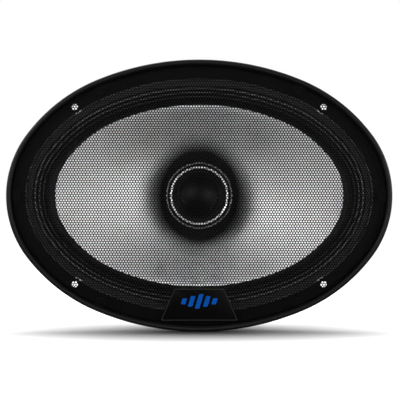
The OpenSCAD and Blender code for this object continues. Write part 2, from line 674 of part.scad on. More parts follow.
module badge_border() {
    color([0.4, 0.4, 0.42]) upright() on_badge(BADGE_T) linear_extrude(0.25) difference() {
        badge_shape(0.1);
        badge_shape(0.6);
    }
}

// Generic mark: five slanted bars, tallest in the middle
module badge_emblem() {
    pitch = 5;
    bar_w = 3;
    slant = 0.3;
    middle_y = (BADGE_TOP_Y + BADGE_LOW_Y) / 2 + 2.2;
    color([0, 0.28, 0.64]) upright() on_badge(BADGE_T) linear_extrude(0.3)
        for (i = [0 : len(BARS) - 1]) let (h = BARS[i] / 2)
            translate([(i - 2) * pitch, middle_y, 0])
                polygon([[-bar_w / 2 - slant * h, -h], [bar_w / 2 - slant * h, -h],
                         [bar_w / 2 + slant * h, h], [-bar_w / 2 + slant * h, h]]);
}

basket();
grille_base_ring();
surround_gasket();
surround();
spider();
top_plate();
ferrite_magnet();
yoke();
basket_screws();
terminal_block();
terminal_positive();
terminal_negative();
terminal_rivets();
tinsel_lead_positive();
tinsel_lead_negative();
capacitor();
capacitor_saddle();
capacitor_lead();
tweeter_lead_positive();
tweeter_lead_negative();
cone();
voice_coil_former();
voice_coil_winding();
neck_collar();
lead_eyelets();
tweeter_post();
post_nut();
tweeter_housing();
tweeter_yoke();
tweeter_magnet();
tweeter_pole_plate();
tweeter_face_plate();
tweeter_surround();
tweeter_trim_ring();
tweeter_bezel();
tweeter_dome();
tweeter_former();
tweeter_coil();
grille_rim();
grille_mesh();
badge_plate();
badge_border();
badge_emblem();
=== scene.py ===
"""Looks of the 6 x 9 inch coaxial car speaker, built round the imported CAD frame.

Sizes are in millimetres in the speaker's own sense, as in the CAD: x across, y up and z
towards the listener, with z = 0 on the panel. place() turns them into the frame's metres.
"""

import json
import math

import bmesh
import bpy
import numpy as np
from mathutils import Matrix, Vector


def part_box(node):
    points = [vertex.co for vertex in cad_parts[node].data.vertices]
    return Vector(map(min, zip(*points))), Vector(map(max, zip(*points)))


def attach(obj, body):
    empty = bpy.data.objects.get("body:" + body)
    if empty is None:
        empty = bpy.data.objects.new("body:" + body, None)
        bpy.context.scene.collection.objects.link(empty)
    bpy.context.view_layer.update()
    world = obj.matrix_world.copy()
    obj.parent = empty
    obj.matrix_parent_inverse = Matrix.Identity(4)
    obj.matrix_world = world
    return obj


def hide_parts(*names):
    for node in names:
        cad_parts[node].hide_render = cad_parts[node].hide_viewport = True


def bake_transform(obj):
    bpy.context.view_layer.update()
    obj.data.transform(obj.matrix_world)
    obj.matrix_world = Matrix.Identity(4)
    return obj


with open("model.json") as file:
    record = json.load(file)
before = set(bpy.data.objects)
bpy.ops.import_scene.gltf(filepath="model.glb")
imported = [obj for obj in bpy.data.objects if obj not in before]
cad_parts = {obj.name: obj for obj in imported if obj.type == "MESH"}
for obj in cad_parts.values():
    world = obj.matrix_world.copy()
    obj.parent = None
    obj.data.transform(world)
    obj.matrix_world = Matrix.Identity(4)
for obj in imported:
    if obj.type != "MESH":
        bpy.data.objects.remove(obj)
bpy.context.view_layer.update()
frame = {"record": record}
MM = 0.001

# -------- sizes taken from the frame


def span(node):
    """Half width, half height, back and front of a CAD node in millimetres."""
    lo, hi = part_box(node)
    return hi.x / MM, hi.z / MM, -hi.y / MM, -lo.y / MM


HALF_W, HALF_H, RIM_BACK, RIM_FRONT = span("grille_rim")
_, _, MESH_BACK, MESH_FRONT = span("grille_mesh")
MESH_EDGE = MESH_BACK + 0.8
MAGNET_R, _, MAGNET_BACK, MAGNET_FRONT = span("ferrite_magnet")
YOKE_BACK = span("yoke")[2]
BASKET_BACK = span("basket")[2]
CONE_BACK = span("cone")[2]
BEZEL_R, _, _, BEZEL_FRONT = span("tweeter_bezel")
POST_R, _, POST_BACK, POST_FRONT = span("tweeter_post")
DOME_R = span("tweeter_dome")[0]
COIL_R = span("voice_coil_winding")[0]
FORMER_R = span("voice_coil_former")[0]
BOLTS = frame["record"]["mounts"][0]["dims"]
HOLE_X = BOLTS["spacing_x_mm"] / 2
HOLE_Y = BOLTS["spacing_y_mm"] / 2
HOLE_R = BOLTS["hole_r_mm"]

# The outline: eight arcs that meet on 3-4-5 and 5-12-13 directions
END_ANGLE = math.degrees(math.atan2(3, 4))
SIDE_ANGLE = math.degrees(math.atan2(12, 5))
GROWTH = HALF_W - HALF_H
END_STEP = 7 * GROWTH / 30 * 5
SIDE_STEP = 2 * GROWTH / 15 * 13
END_C = END_STEP * 4 / 5 + SIDE_STEP * 5 / 13
END_R = HALF_W - END_C
SHOULDER_C = (END_C - END_STEP * 4 / 5, -END_STEP * 3 / 5)
SHOULDER_R = END_R + END_STEP
SIDE_C = (0, SHOULDER_C[1] - SIDE_STEP * 12 / 13)
SIDE_R = SHOULDER_R + SIDE_STEP
# Centre, radius, first and last normal angle of each arc in the first quadrant
ARCS = [((END_C, 0), END_R, 0, END_ANGLE), (SHOULDER_C, SHOULDER_R, END_ANGLE, SIDE_ANGLE),
        (SIDE_C, SIDE_R, SIDE_ANGLE, 90)]

# Inward offsets from the outline that several pieces share
RIM_W = 3.3
BASE_IN = 13.2
LAND_OUT = 13.8
CONE_RIM_OUT = 28.3
CONE_RIM_IN = 31

# -------- mesh helpers


def place(x, y, z):
    return (x * MM, -z * MM, y * MM)


def oval_point(angle, offset):
    """Point of the outline moved inward by offset, where its normal points along angle."""
    turned = angle % 360
    sx = 1 if turned <= 90 or turned >= 270 else -1
    sy = 1 if turned <= 180 else -1
    first = turned % 180
    first = 180 - first if first > 90 else first
    if turned in (180, 360):
        first = 0
    centre, radius = next(arc[:2] for arc in ARCS if first <= arc[3])
    a = math.radians(first)
    return (
        sx * (centre[0] + (radius - offset) * math.cos(a)),
        sy * (centre[1] + (radius - offset) * math.sin(a)),
    )


def ways(steps=(48, 22, 36)):
    """Normal angles round the oval, evenly spread within each arc."""
    quarter = [low + (high - low) * i / count for (_, _, low, high), count in zip(ARCS, steps)
               for i in range(count)]
    mirrored = [180 - a for a in reversed(quarter[1:])]
    half = quarter + [90] + mirrored
    return half + [180 + a for a in half]


WAYS = ways()


def oval_ring(offset, z):
    return [(*oval_point(a, offset), z) for a in WAYS]


def round_ring(radius, z):
    """Circle whose points lie on the same rays as the cone rim's."""
    scaled = ((x, y, radius / math.hypot(x, y)) for x, y, _ in oval_ring(CONE_RIM_IN, 0))
    return [(x * scale, y * scale, z) for x, y, scale in scaled]


def rounded(points, radius=0.3, steps=3):
    """Closed outline with its corners rounded; a point may carry its own radius as a third number."""
    outline = []
    count = len(points)
    for i, point in enumerate(points):
        here = Vector(point[:2])
        before = Vector(points[i - 1][:2]) - here
        after = Vector(points[(i + 1) % count][:2]) - here
        want = point[2] if len(point) > 2 else radius
        half = before.angle(after) / 2 if want > 0 else 0
        if want <= 0 or half > 1.5:
            outline.append(tuple(here))
            continue
        cut = min(want / math.tan(half), before.length * 0.48, after.length * 0.48)
        start = here + before.normalized() * cut
        end = here + after.normalized() * cut
        for k in range(steps + 1):
            t = k / steps
            outline.append(tuple(start * (1 - t) ** 2 + here * 2 * t * (1 - t) + end * t * t))
    return outline


def add(name, data):
    """Object in the scene that shows data."""
    obj = bpy.data.objects.new(name, data)
    bpy.context.scene.collection.objects.link(obj)
    return obj


def build(name, vertices, faces, sharp=35):
    """Mesh object in the frame from points in millimetres, smooth except at sharp corners."""
    mesh = bpy.data.meshes.new(name)
    mesh.from_pydata([place(*v) for v in vertices], [], faces)
    obj = add(name, mesh)
    tidy(obj, sharp)
    return obj


def tidy(obj, sharp=35):
    """Welds, turns the faces outward and marks the sharp edges."""
    work = bmesh.new()
    work.from_mesh(obj.data)
    bmesh.ops.remove_doubles(work, verts=work.verts, dist=1e-7)
    bmesh.ops.recalc_face_normals(work, faces=work.faces)
    work.to_mesh(obj.data)
    work.free()
    obj.data.shade_smooth()
    obj.data.set_sharp_from_angle(angle=math.radians(sharp))


def skin(name, rings, looped=True, sharp=35):
    """Skin over rings of points: looped joins the last ring to the first, else the ends close."""
    n, m = len(rings[0]), len(rings)
    vertices = [p for ring in rings for p in ring]
    faces = []
    for i in range(m if looped else m - 1):
        j = (i + 1) % m
        for k in range(n):
            l = (k + 1) % n
            faces.append((i * n + k, i * n + l, j * n + l, j * n + k))
    if not looped:
        faces.append(tuple(reversed(range(n))))
        faces.append(tuple(range((m - 1) * n, m * n)))
    return build(name, vertices, faces, sharp)


def circle(radius, sides):
    steps = (2 * math.pi * k / sides for k in range(sides))
    return [(radius * math.cos(a), radius * math.sin(a)) for a in steps]


def corners(x0, y0, x1, y1):
    return [(x0, y0), (x1, y0), (x1, y1), (x0, y1)]


def sweep(name, profile, sharp=35):
    """Closed profile of (inward offset, z) swept round the oval."""
    return skin(name, [oval_ring(d, z) for d, z in profile], sharp=sharp)


def lathe(name, profile, turns=128, sharp=35, at=(0, 0)):
    """Closed profile of (radius, z) turned round an axis through at."""
    rings = [[(at[0] + u, at[1] + v, z) for u, v in circle(r, turns)] for r, z in profile]
    return skin(name, rings, sharp=sharp)


def barrel(name, profile, centre, turns=64):
    """Closed profile of (radius, x) turned round a line across the speaker."""
    rings = [[(centre[0] + x, centre[1] + u, centre[2] + v) for u, v in circle(r, turns)]
             for r, x in profile]
    return skin(name, rings)


def cord(name, route, radius, steps=8, sides=14):
    """Round wire along a smooth curve through the route's points."""
    points = [Vector(p) for p in route]
    last = len(points) - 1
    path = []
    for i in range(last):
        a, b = points[max(i - 1, 0)], points[i]
        c, d = points[i + 1], points[min(i + 2, last)]
        for k in range(steps):
            t = k / steps
            path.append((2 * b + (c - a) * t + (2 * a - 5 * b + 4 * c - d) * t * t
                         + (3 * b - a - 3 * c + d) * t ** 3) / 2)
    path.append(points[last])
    rings, aside = [], Vector((1, 0.01, 0))
    for i, here in enumerate(path):
        way = (path[min(i + 1, len(path) - 1)] - path[max(i - 1, 0)]).normalized()
        aside = (aside - way * aside.dot(way)).normalized()
        other = way.cross(aside)
        rings.append([here + u * aside + v * other for u, v in circle(radius, sides)])
    return skin(name, rings, looped=False)


def tube(r_out, r_in, z0, z1, edge=0.3):
    return rounded(corners(r_in, z0, r_out, z1), edge)


def prism(name, outline, z0, z1):
    """Straight-sided block over an outline in x and y."""
    rings = [[(x, y, z) for x, y in outline] for z in (z0, z1)]
    return skin(name, rings, looped=False)


def disc(name, centre, radius, z0, z1, sides=48):
    return prism(name, [(centre[0] + u, centre[1] + v) for u, v in circle(radius, sides)], z0, z1)


def discs(name, places, *sizes):
    return [disc(f"{name}_{i}", at, *sizes) for i, at in enumerate(places)]


def merge(name, parts):
    """Joins separate meshes into one piece without changing them."""
    work = bmesh.new()
    for part in parts:
        work.from_mesh(part.data)
    mesh = bpy.data.meshes.new(name)
    work.to_mesh(mesh)
    work.free()
    for part in parts:
        bpy.data.objects.remove(part)
    obj = add(name, mesh)
    tidy(obj)
    return obj


def carve(obj, tools, operation="DIFFERENCE"):
    """Cuts the tools from obj, or adds them, and removes them."""
    for tool in tools:
        step = obj.modifiers.new("carve", "BOOLEAN")
        step.operation = operation
        step.solver = "MANIFOLD"
        step.object = tool
        apply_modifiers(obj)
        bpy.data.objects.remove(tool)
    return obj


def apply_modifiers(obj):
    graph = bpy.context.evaluated_depsgraph_get()
    mesh = bpy.data.meshes.new_from_object(obj.evaluated_get(graph))
    obj.modifiers.clear()
    obj.data = mesh


def soften(obj, width=0.3, segments=2, angle=38):
    """Rounds the sharp edges that booleans leave."""
    step = obj.modifiers.new("soften", "BEVEL")
    step.width = width * MM
    step.segments = segments
    step.limit_method = "ANGLE"
    step.angle_limit = math.radians(angle)
    step.use_clamp_overlap = True
    apply_modifiers(obj)
    tidy(obj)
    return obj


def spin(obj, degrees):
    """Turns a mesh round the speaker's axis."""
    work = bmesh.new()
    work.from_mesh(obj.data)
    bmesh.ops.rotate(work, verts=work.verts, matrix=Matrix.Rotation(-math.radians(degrees), 3, "Y"))
    work.to_mesh(obj.data)
    work.free()
    return obj


def slab(name, outline, low, high):
    """Block whose outline is in x and z, from low to high in y."""
    rings = [[(x, y, z) for x, z in outline] for y in (low, high)]
    return skin(name, rings, looped=False)


# -------- materials


def grey(level):
    return (level, level, level)


def add_node(tree, kind, inputs=None, **settings):
    """Adds a shader node; each input is linked to a socket or set to a value."""
    made = tree.nodes.new("ShaderNode" + kind)
    for key, value in settings.items():
        setattr(made, key, value)
    for key, value in (inputs or {}).items():
        if isinstance(value, bpy.types.NodeSocket):
            tree.links.new(value, made.inputs[key])
        else:
            made.inputs[key].default_value = value
    return made


class Paint:
    """One procedural material: a Principled shader with its texture nodes."""

    def __init__(self, name, colour, roughness, metallic=0.0, specular=0.5):
        self.material = bpy.data.materials.new(name)
        self.material.use_nodes = True
        self.tree = self.material.node_tree
        self.shader = self.tree.nodes["Principled BSDF"]
        self.colour = (*colour, 1)
        self.roughness = roughness
        self.shader.inputs["Base Color"].default_value = self.colour
        self.shader.inputs["Roughness"].default_value = roughness
        self.shader.inputs["Metallic"].default_value = metallic
        self.shader.inputs["Specular IOR Level"].default_value = specular
        self.coordinates = self.node("TexCoord").outputs["Object"]
        self.normal = None

    def node(self, kind, inputs=None, **settings):
        return add_node(self.tree, kind, inputs, **settings)

    def drive(self, source, name):
        """Links a socket to one of the shader's inputs."""
        self.tree.links.new(source, self.shader.inputs[name])

    def math(self, operation, *values):
        return self.node("Math", dict(enumerate(values)), operation=operation).outputs[0]

    def times(self, *values):
        return self.math("MULTIPLY", *values)

    def noise(self, size_mm, detail=4.0):
        """Noise from 0 to 1 whose grains are about size_mm across."""
        made = self.node("TexNoise", {
            "Vector": self.coordinates, "Scale": 1 / (size_mm * MM), "Detail": detail})
        return made.outputs["Fac"]

    def rescale(self, value, low, high, to_low=0.0, to_high=1.0, kind="LINEAR"):
        """Value from low to high brought to run from to_low to to_high."""
        made = self.node("MapRange", {
            "Value": value, "From Min": low, "From Max": high, "To Min": to_low, "To Max": to_high,
        }, interpolation_type=kind)
        return made.outputs["Result"]

    def ramp(self, value, low, high, stops=(0.3, 0.7)):
        """Colour between low and high as value runs between the stops."""
        made = self.node("ValToRGB", {"Fac": value})
        for element, stop, colour in zip(made.color_ramp.elements, stops, (low, high)):
            element.position = stop
            element.color = (*colour, 1)
        return made.outputs["Color"]

    def vary(self, value, spread=0.15, stops=(0.3, 0.7)):
        """Lets the base colour drift lighter and darker with value."""
        low = tuple(c * (1 - spread) for c in self.colour[:3])
        high = tuple(min(1, c * (1 + spread)) for c in self.colour[:3])
        self.drive(self.ramp(value, low, high, stops), "Base Color")

    def gloss(self, value, spread=0.1):
        """Lets the roughness drift with value."""
        low, high = max(0.02, self.roughness - spread), min(1, self.roughness + spread)
        self.drive(self.rescale(value, 0, 1, low, high), "Roughness")

    def bump(self, value, depth_mm, strength=1.0):
        """Raises the surface by depth_mm where value is 1; calls stack."""
        inputs = {"Height": value, "Distance": depth_mm * MM, "Strength": strength}
        if self.normal is not None:
            inputs["Normal"] = self.normal
        self.normal = self.node("Bump", inputs).outputs["Normal"]
        self.drive(self.normal, "Normal")

    def wear(self, drift, shine, relief, depth_mm, strength=1.0):
        """Uneven colour and gloss, each as (grain size, spread), and a fine relief."""
        self.vary(self.noise(drift[0]), drift[1])
        self.gloss(self.noise(shine[0]), shine[1])
        self.bump(relief, depth_mm, strength)
        return self.material

    def axes(self):
        """The object's x, y (up) and z (front) in millimetres."""
        made = self.node("SeparateXYZ", {0: self.coordinates})
        x = self.times(made.outputs[0], 1 / MM)
        y = self.times(made.outputs[2], 1 / MM)
        z = self.times(made.outputs[1], -1 / MM)
        return x, y, z

    def radius(self, wide=1, tall=1):
        """Distance from the speaker's axis in millimetres, with x and y scaled."""
        x, y, _ = self.axes()
        x, y = self.times(x, wide), self.times(y, tall)
        squares = self.math("ADD", self.times(x, x), self.times(y, y))
        return self.math("SQRT", squares)

    def distance(self):
        """Distance from the middle of the speaker in metres."""
        made = self.node("VectorMath", {0: self.coordinates}, operation="LENGTH")
        return made.outputs["Value"]

    def weave(self, first, second, pitch):
        """Plain weave height from 0 to 1 of two thread directions, given in millimetres."""
        turn = math.pi / pitch
        waves = [self.math("SINE", self.times(way, turn)) for way in (first, second)]
        along, across = [self.math("ABSOLUTE", wave) for wave in waves]
        over = self.math("GREATER_THAN", self.times(*waves), 0.0)
        under = self.math("SUBTRACT", 1.0, over)
        return self.math(
            "ADD", self.times(along, over), self.times(across, under)
        )


def powder_coat(name, colour, roughness=0.42, specular=0.4):
    paint = Paint(name, colour, roughness, specular=specular)
    return paint.wear((14, 0.12), (3, 0.08), paint.noise(0.5), 0.03, 0.5)


def moulded(name, colour, roughness=0.5, specular=0.4, grain_mm=0.25):
    paint = Paint(name, colour, roughness, specular=specular)
    return paint.wear((9, 0.15), (2, 0.08), paint.noise(grain_mm, 2.0), 0.02, 0.6)


def plated(name, colour, roughness=0.3):
    paint = Paint(name, colour, roughness, metallic=1.0)
    return paint.wear((8, 0.1), (1.5, 0.08), paint.noise(0.4, 2.0), 0.004)


def turned(name, colour, roughness=0.25, pitch=0.35, depth=0.006, metallic=1.0):
    """Lathe-turned metal: rings of fine tool marks round the axis."""
    paint = Paint(name, colour, roughness, metallic=metallic)
    rings = paint.math("SINE", paint.times(paint.radius(), 2 * math.pi / pitch))
    marks = paint.math("ADD", paint.times(rings, 0.5), paint.noise(1.0))
    return paint.wear((7, 0.08), (2, 0.07), marks, depth)


def silver_fibre():
    """Woven glass-fibre cone under a satin silver-grey coat, with painted shade that darkens it round the
    neck.
    """
    paint = Paint("silver_fibre", grey(0.8), 0.46, metallic=0.6, specular=0.5)
    x, y, _ = paint.axes()
    # coat holds the painted shade round the neck, which is a little taller than it is wide
    coat = paint.rescale(paint.radius(1.06, 0.92), 24, 41, kind="SMOOTHSTEP")
    # The painted shade with a little random tone on top
    painted_shade_and_tone = paint.math("ADD", coat, paint.times(paint.noise(5), 0.1))
    silver = paint.ramp(painted_shade_and_tone, grey(0.007), (0.82, 0.86, 0.88), (0.14, 1))
    paint.drive(silver, "Base Color")
    paint.gloss(paint.noise(3), 0.08)
    paint.bump(paint.weave(x, y, 0.9), 0.05)
    return paint.material


def coated_cloth():
    """Rubber-coated cloth of the pleated surround, with a painted highlight that makes it greyer where the
    pleats stand up.
    """
    paint = Paint("coated_cloth", grey(0.012), 0.4, specular=0.2)
    x, y, z = paint.axes()
    # Painted highlight: lighter towards the pleat crests, with a little random tone
    height = paint.rescale(z, 2.1, 3.3)
    crest_highlight_and_tone = paint.math("ADD", height, paint.times(paint.noise(6), 0.15))
    crest_highlight_colour = paint.ramp(crest_highlight_and_tone, grey(0.001), grey(0.13), (0.35, 1.0))
    paint.drive(crest_highlight_colour, "Base Color")
    paint.gloss(paint.noise(1.5), 0.1)
    paint.bump(paint.weave(x, y, 0.45), 0.02)
    return paint.material


def spider_cloth():
    paint = Paint("spider_cloth", (0.6, 0.36, 0.1), 0.75, specular=0.3)
    x, y, _ = paint.axes()
    threads = paint.weave(x, y, 0.7)
    paint.vary(threads, 0.3, (0.1, 0.9))
    paint.bump(threads, 0.12)
    return paint.material


def silk():
    """Coated silk of the tweeter's dome: tight weave under a soft sheen."""
    paint = Paint("silk", grey(0.0015), 0.34, specular=0.1)
    x, y, _ = paint.axes()
    return paint.wear((3, 0.3), (1, 0.06), paint.weave(x, y, 0.3), 0.012)


def foam():
    paint = Paint("foam", grey(0.02), 0.85, specular=0.25)
    cells = paint.node("TexVoronoi", {"Scale": 1 / (0.5 * MM), "Vector": paint.coordinates})
    paint.vary(paint.noise(2), 0.3)
    paint.bump(cells.outputs["Distance"], 0.15)
    return paint.material


def ferrite():
    """Ground black ceramic: small bright flecks and uneven gloss."""
    paint = Paint("ferrite", (0.05, 0.05, 0.055), 0.38, metallic=0.25, specular=0.5)
    flecks = paint.noise(0.8, 6.0)
    paint.vary(flecks, 0.35, (0.35, 0.75))
    paint.gloss(paint.noise(4), 0.12)
    paint.bump(flecks, 0.02)
    return paint.material


def braid():
    """Plaited copper wire: strands slanting both ways."""
    paint = Paint("copper_braid", (0.62, 0.36, 0.2), 0.35, metallic=1.0)
    x, y, z = paint.axes()
    slant = paint.math("ADD", y, z)
    strands = paint.weave(paint.math("ADD", x, slant), paint.math("SUBTRACT", x, slant), 0.35)
    paint.vary(strands, 0.35, (0.1, 0.9))
    paint.bump(strands, 0.08)
    return paint.material


def winding():
    """Enamelled copper turns, one ridge per turn along the axis."""
    paint = Paint("copper_winding", (0.7, 0.3, 0.14), 0.28, metallic=1.0)
    _, _, z = paint.axes()
    turns = paint.math("ABSOLUTE", paint.math("SINE", paint.times(z, math.pi / 0.3)))
    paint.vary(turns, 0.25, (0.1, 0.9))
    paint.bump(turns, 0.1)
    return paint.material


def gloss_coat(name, colour, roughness, coat, specular=0.5):
    paint = Paint(name, colour, roughness, specular=specular)
    paint.shader.inputs["Coat Weight"].default_value = coat
    paint.shader.inputs["Coat Roughness"].default_value = 0.08
    return paint.wear((5, 0.1), (2.5, 0.05), paint.noise(1.2), 0.006)


BLACK_COAT = powder_coat("powder_black", (0.018, 0.018, 0.02))
MESH_COAT = powder_coat("mesh_black", grey(0.0009), 0.6, 0.012)
RIM_PLASTIC = moulded("rim_plastic", grey(0.0016), 0.4, 0.06)
BASE_PLASTIC = moulded("base_plastic", grey(0.0006), 0.5, 0.04)
# Lighter copies of the base ring's plastic: a painted highlight for its lip and painted glints beside the
# mounting holes
BASE_LIP_HIGHLIGHT = moulded("base_lip_highlight", grey(0.045), 0.4, 0.2)
BASE_GLINT = moulded("base_glint", grey(0.5), 0.4, 0.4)
BLACK_PLASTIC = moulded("black_plastic", (0.016, 0.016, 0.018), 0.5)
BEZEL_PLASTIC = moulded("bezel_plastic", grey(0.003), 0.4, 0.2)
BOARD = moulded("terminal_board", (0.03, 0.028, 0.026), 0.6, grain_mm=0.6)
ZINC = plated("zinc", (0.6, 0.61, 0.6), 0.34)
TURNED_ZINC = turned("turned_zinc", (0.58, 0.59, 0.58), 0.32)
NICKEL = plated("nickel", (0.62, 0.61, 0.6), 0.2)
BRASS = turned("brass", (0.72, 0.52, 0.2), 0.24, 0.5)
TIN = plated("tin", (0.7, 0.7, 0.68), 0.28)
# The trim ring's front face: polished metal whose near-white colour is a painted highlight
BRIGHT_RING_HIGHLIGHT = turned("bright_ring_highlight", grey(0.97), 0.34, 0.22, 0.01, metallic=0.5)
RING_WALL = turned("ring_wall", grey(0.8), 0.12, 0.3, 0.004)
# Painted highlight: a lighter copy of the bezel plastic for its outer lip
BEZEL_LIP_HIGHLIGHT = moulded("bezel_lip_highlight", grey(0.22), 0.35, 0.5)
SILVER_CONE = silver_fibre()
PLEAT_CLOTH = coated_cloth()
SPIDER_CLOTH = spider_cloth()
DOME_SILK = silk()
FOAM = foam()
FERRITE = ferrite()
BRAID = braid()
WINDING = winding()
KAPTON = gloss_coat("former_film", (0.36, 0.17, 0.04), 0.3, 0.3)
GLUE = gloss_coat("black_glue", grey(0.012), 0.22, 0.6)
BADGE_GLOSS = gloss_coat("badge_gloss", grey(0.0008), 0.32, 0.0, 0.01)
BORDER_GREY = gloss_coat("border_grey", (0.006, 0.006, 0.0055), 0.35, 0.0, 0.1)
EMBLEM_BLUE = gloss_coat("emblem_blue", (0.0, 0.02, 0.1), 0.4, 0.0, 0.03)
SLEEVE_BLUE = gloss_coat("sleeve_blue", (0.02, 0.05, 0.2), 0.3, 0.3)
RED_PVC = gloss_coat("red_pvc", (0.4, 0.02, 0.015), 0.35, 0.1)
BLACK_PVC = gloss_coat("black_pvc", grey(0.012), 0.35, 0.1)


def dress(obj, node, slot, material, body="chassis"):
    """Gives a piece its material, hides its CAD node and hangs it on the body that it rides on, if one is
    given; slot is not used.
    """
    obj.data.materials.clear()
    obj.data.materials.append(material)
    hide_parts(node)
    if body:
        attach(obj, body)
    return obj


def turned_tube(name, sizes, *looks, turns=128):
    """Finished piece in the shape of a tube, with sizes as in tube()."""
    dress(lathe(name, tube(*sizes), turns), *looks)


def flex(obj, weight):
    """Bakes the piece's place into its mesh and works out, from weight, each point's share of a body's
    motion; nothing uses the shares."""
    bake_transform(obj)
    shares = [weight(v.co.x / MM, v.co.z / MM, -v.co.y / MM) for v in obj.data.vertices]


def paint_faces(obj, material, test):
    """Gives material to the faces whose middle, as x, y, z in millimetres, passes test."""
    obj.data.materials.append(material)
    for face in obj.data.polygons:
        middle = face.center / MM
        if test(middle.x, middle.z, -middle.y):
            face.material_index = len(obj.data.materials) - 1


def smooth_share(value, start, end):
    t = min(1, max(0, (value - start) / (end - start)))
    return t * t * (3 - 2 * t)


# -------- camera, light and floor

FLOOR_Z = -HALF_H * MM
LENS = 200
SENSOR = 36
# Share of the frame's width that the grille fills
GRILLE_SHARE = 0.9625
VIEW_W = 2 * HALF_W * MM / GRILLE_SHARE
CAMERA_BACK = LENS / SENSOR * VIEW_W + RIM_BACK * 2 * MM
# The grille sits a little above and left of the middle of the frame
AIM_X = 0.5 * MM
AIM_Z = -2.9 * MM

camera_data = bpy.data.cameras.new("camera")
camera_data.lens = LENS
camera_data.sensor_width = SENSOR
camera = add("camera", camera_data)
camera.location = (AIM_X, -CAMERA_BACK, AIM_Z)
camera.rotation_euler = (math.radians(90), 0, 0)
bpy.context.scene.camera = camera


def area_light(name, position, width, height, power):
    """Softbox aimed at the middle of the speaker, in metres and watts."""
    data = bpy.data.lights.new(name, "AREA")
    data.shape = "RECTANGLE"
    data.size = width
    data.size_y = height
    data.energy = power
    light = add(name, data)
    light.location = position
    light.rotation_euler = (-Vector(position)).to_track_quat("-Z", "Y").to_euler()
    light.visible_camera = False
    return light


# Softboxes to the left and right of the camera, one overhead and two behind the speaker
side_lights = [area_light("softbox_left", (-0.8, -1.15, 0.37), 0.7, 0.8, 51),
               area_light("softbox_right", (0.85, -1.15, 0.06), 0.7, 0.8, 56)]
area_light("softbox_top", (0, 0.4, 1.1), 1.4, 0.6, 40)
area_light("softbox_back_left", (-1.0, 1.1, 0.6), 0.6, 0.8, 14)
area_light("softbox_back_right", (1.1, 0.9, 0.3), 0.6, 0.8, 9)

world = bpy.data.worlds.new("studio")
bpy.context.scene.world = world
world.use_nodes = True
background = world.node_tree.nodes["Background"]
background.inputs["Color"].default_value = (1, 1, 1, 1)
# The fill light fades out towards the floor
sky = add_node(world.node_tree, "TexCoord").outputs["Generated"]
height = add_node(world.node_tree, "SeparateXYZ", {"Vector": sky}).outputs["Z"]
fill = add_node(world.node_tree, "MapRange", {
    "Value": height, "From Min": -0.5, "From Max": 0.3, "To Min": 0.0, "To Max": 0.13})
world.node_tree.links.new(fill.outputs["Result"], background.inputs["Strength"])
bpy.context.scene.view_settings.view_transform = "Standard"

# White studio wall far round the speaker: seen, but it lights nothing
bpy.ops.mesh.primitive_ico_sphere_add(subdivisions=5, radius=9)
wall = bpy.context.object
wall.name = "studio_wall"
wall_paint = Paint("wall_white", (0, 0, 0), 1.0, specular=0)
wall_paint.shader.inputs["Emission Color"].default_value = (1, 1, 1, 1)
wall_paint.shader.inputs["Emission Strength"].default_value = 1.0
wall.data.materials.append(wall_paint.material)
wall.visible_diffuse = wall.visible_glossy = False
wall.visible_transmission = wall.visible_shadow = False

# Pale floor with a painted shadow: grey by the speaker, glowing to white between two distances from its
# middle
REACH = 8.5
SHADE_START, SHADE_END = 0.09, 0.18
edges = corners(-REACH / MM, -REACH / MM, REACH / MM, REACH / MM)
floor = build("floor", [(x, FLOOR_Z / MM, z) for x, z in edges], [(0, 1, 2, 3)])
floor.visible_diffuse = floor.visible_glossy = False
floor_paint = Paint("floor_white", grey(0.2), 0.8, specular=0.0)
floor_paint.shader.inputs["Emission Color"].default_value = (1, 1, 1, 1)
# Painted shadow: the floor's glow fades out near the speaker
painted_shadow_fade = floor_paint.rescale(floor_paint.distance(), SHADE_START, SHADE_END)
floor_paint.drive(painted_shadow_fade, "Emission Strength")
floor.data.materials.append(floor_paint.material)

# The side softboxes are flagged off the floor, so the overhead light's shadow stays deep
flagged = bpy.data.collections.new("flagged_off_floor")
flagged.objects.link(floor)
for light in side_lights:
    light.light_linking.receiver_collection = flagged
for entry in flagged.collection_objects:
    entry.light_linking.link_state = "EXCLUDE"

# -------- grille


def oval_offset(x, y):
    """How far a point lies inside the outline."""
    x, y = abs(x), abs(y)
    for centre, radius, low, high in ARCS:
        angle = math.degrees(math.atan2(y - centre[1], x - centre[0]))
        if low <= angle <= high:
            return radius - math.hypot(x - centre[0], y - centre[1])
    return END_R


def crown(x, y):
    """Front of the mesh over a point: domed, with its edge bent back to a flat land."""
    bend = min(1, max(0, (oval_offset(x, y) - MESH_LAND) / (MESH_RISE - MESH_LAND)))
    edge = MESH_EDGE + MESH_LIFT * bend
    share = min(1, (x / (HALF_W - MESH_RISE)) ** 2 + (y / (HALF_H - MESH_RISE)) ** 2)
    return edge + (MESH_FRONT - MESH_EDGE - MESH_LIFT) * (1 - share)


PITCH = 1.78
HOLE_SIDES = 12
PUNCH_R = 0.64
SHEET_T = 0.6
MESH_START = 3.9
MESH_LAND, MESH_RISE, MESH_LIFT = 3.6, 5.2, 1.1
MESH_PIECES = 6


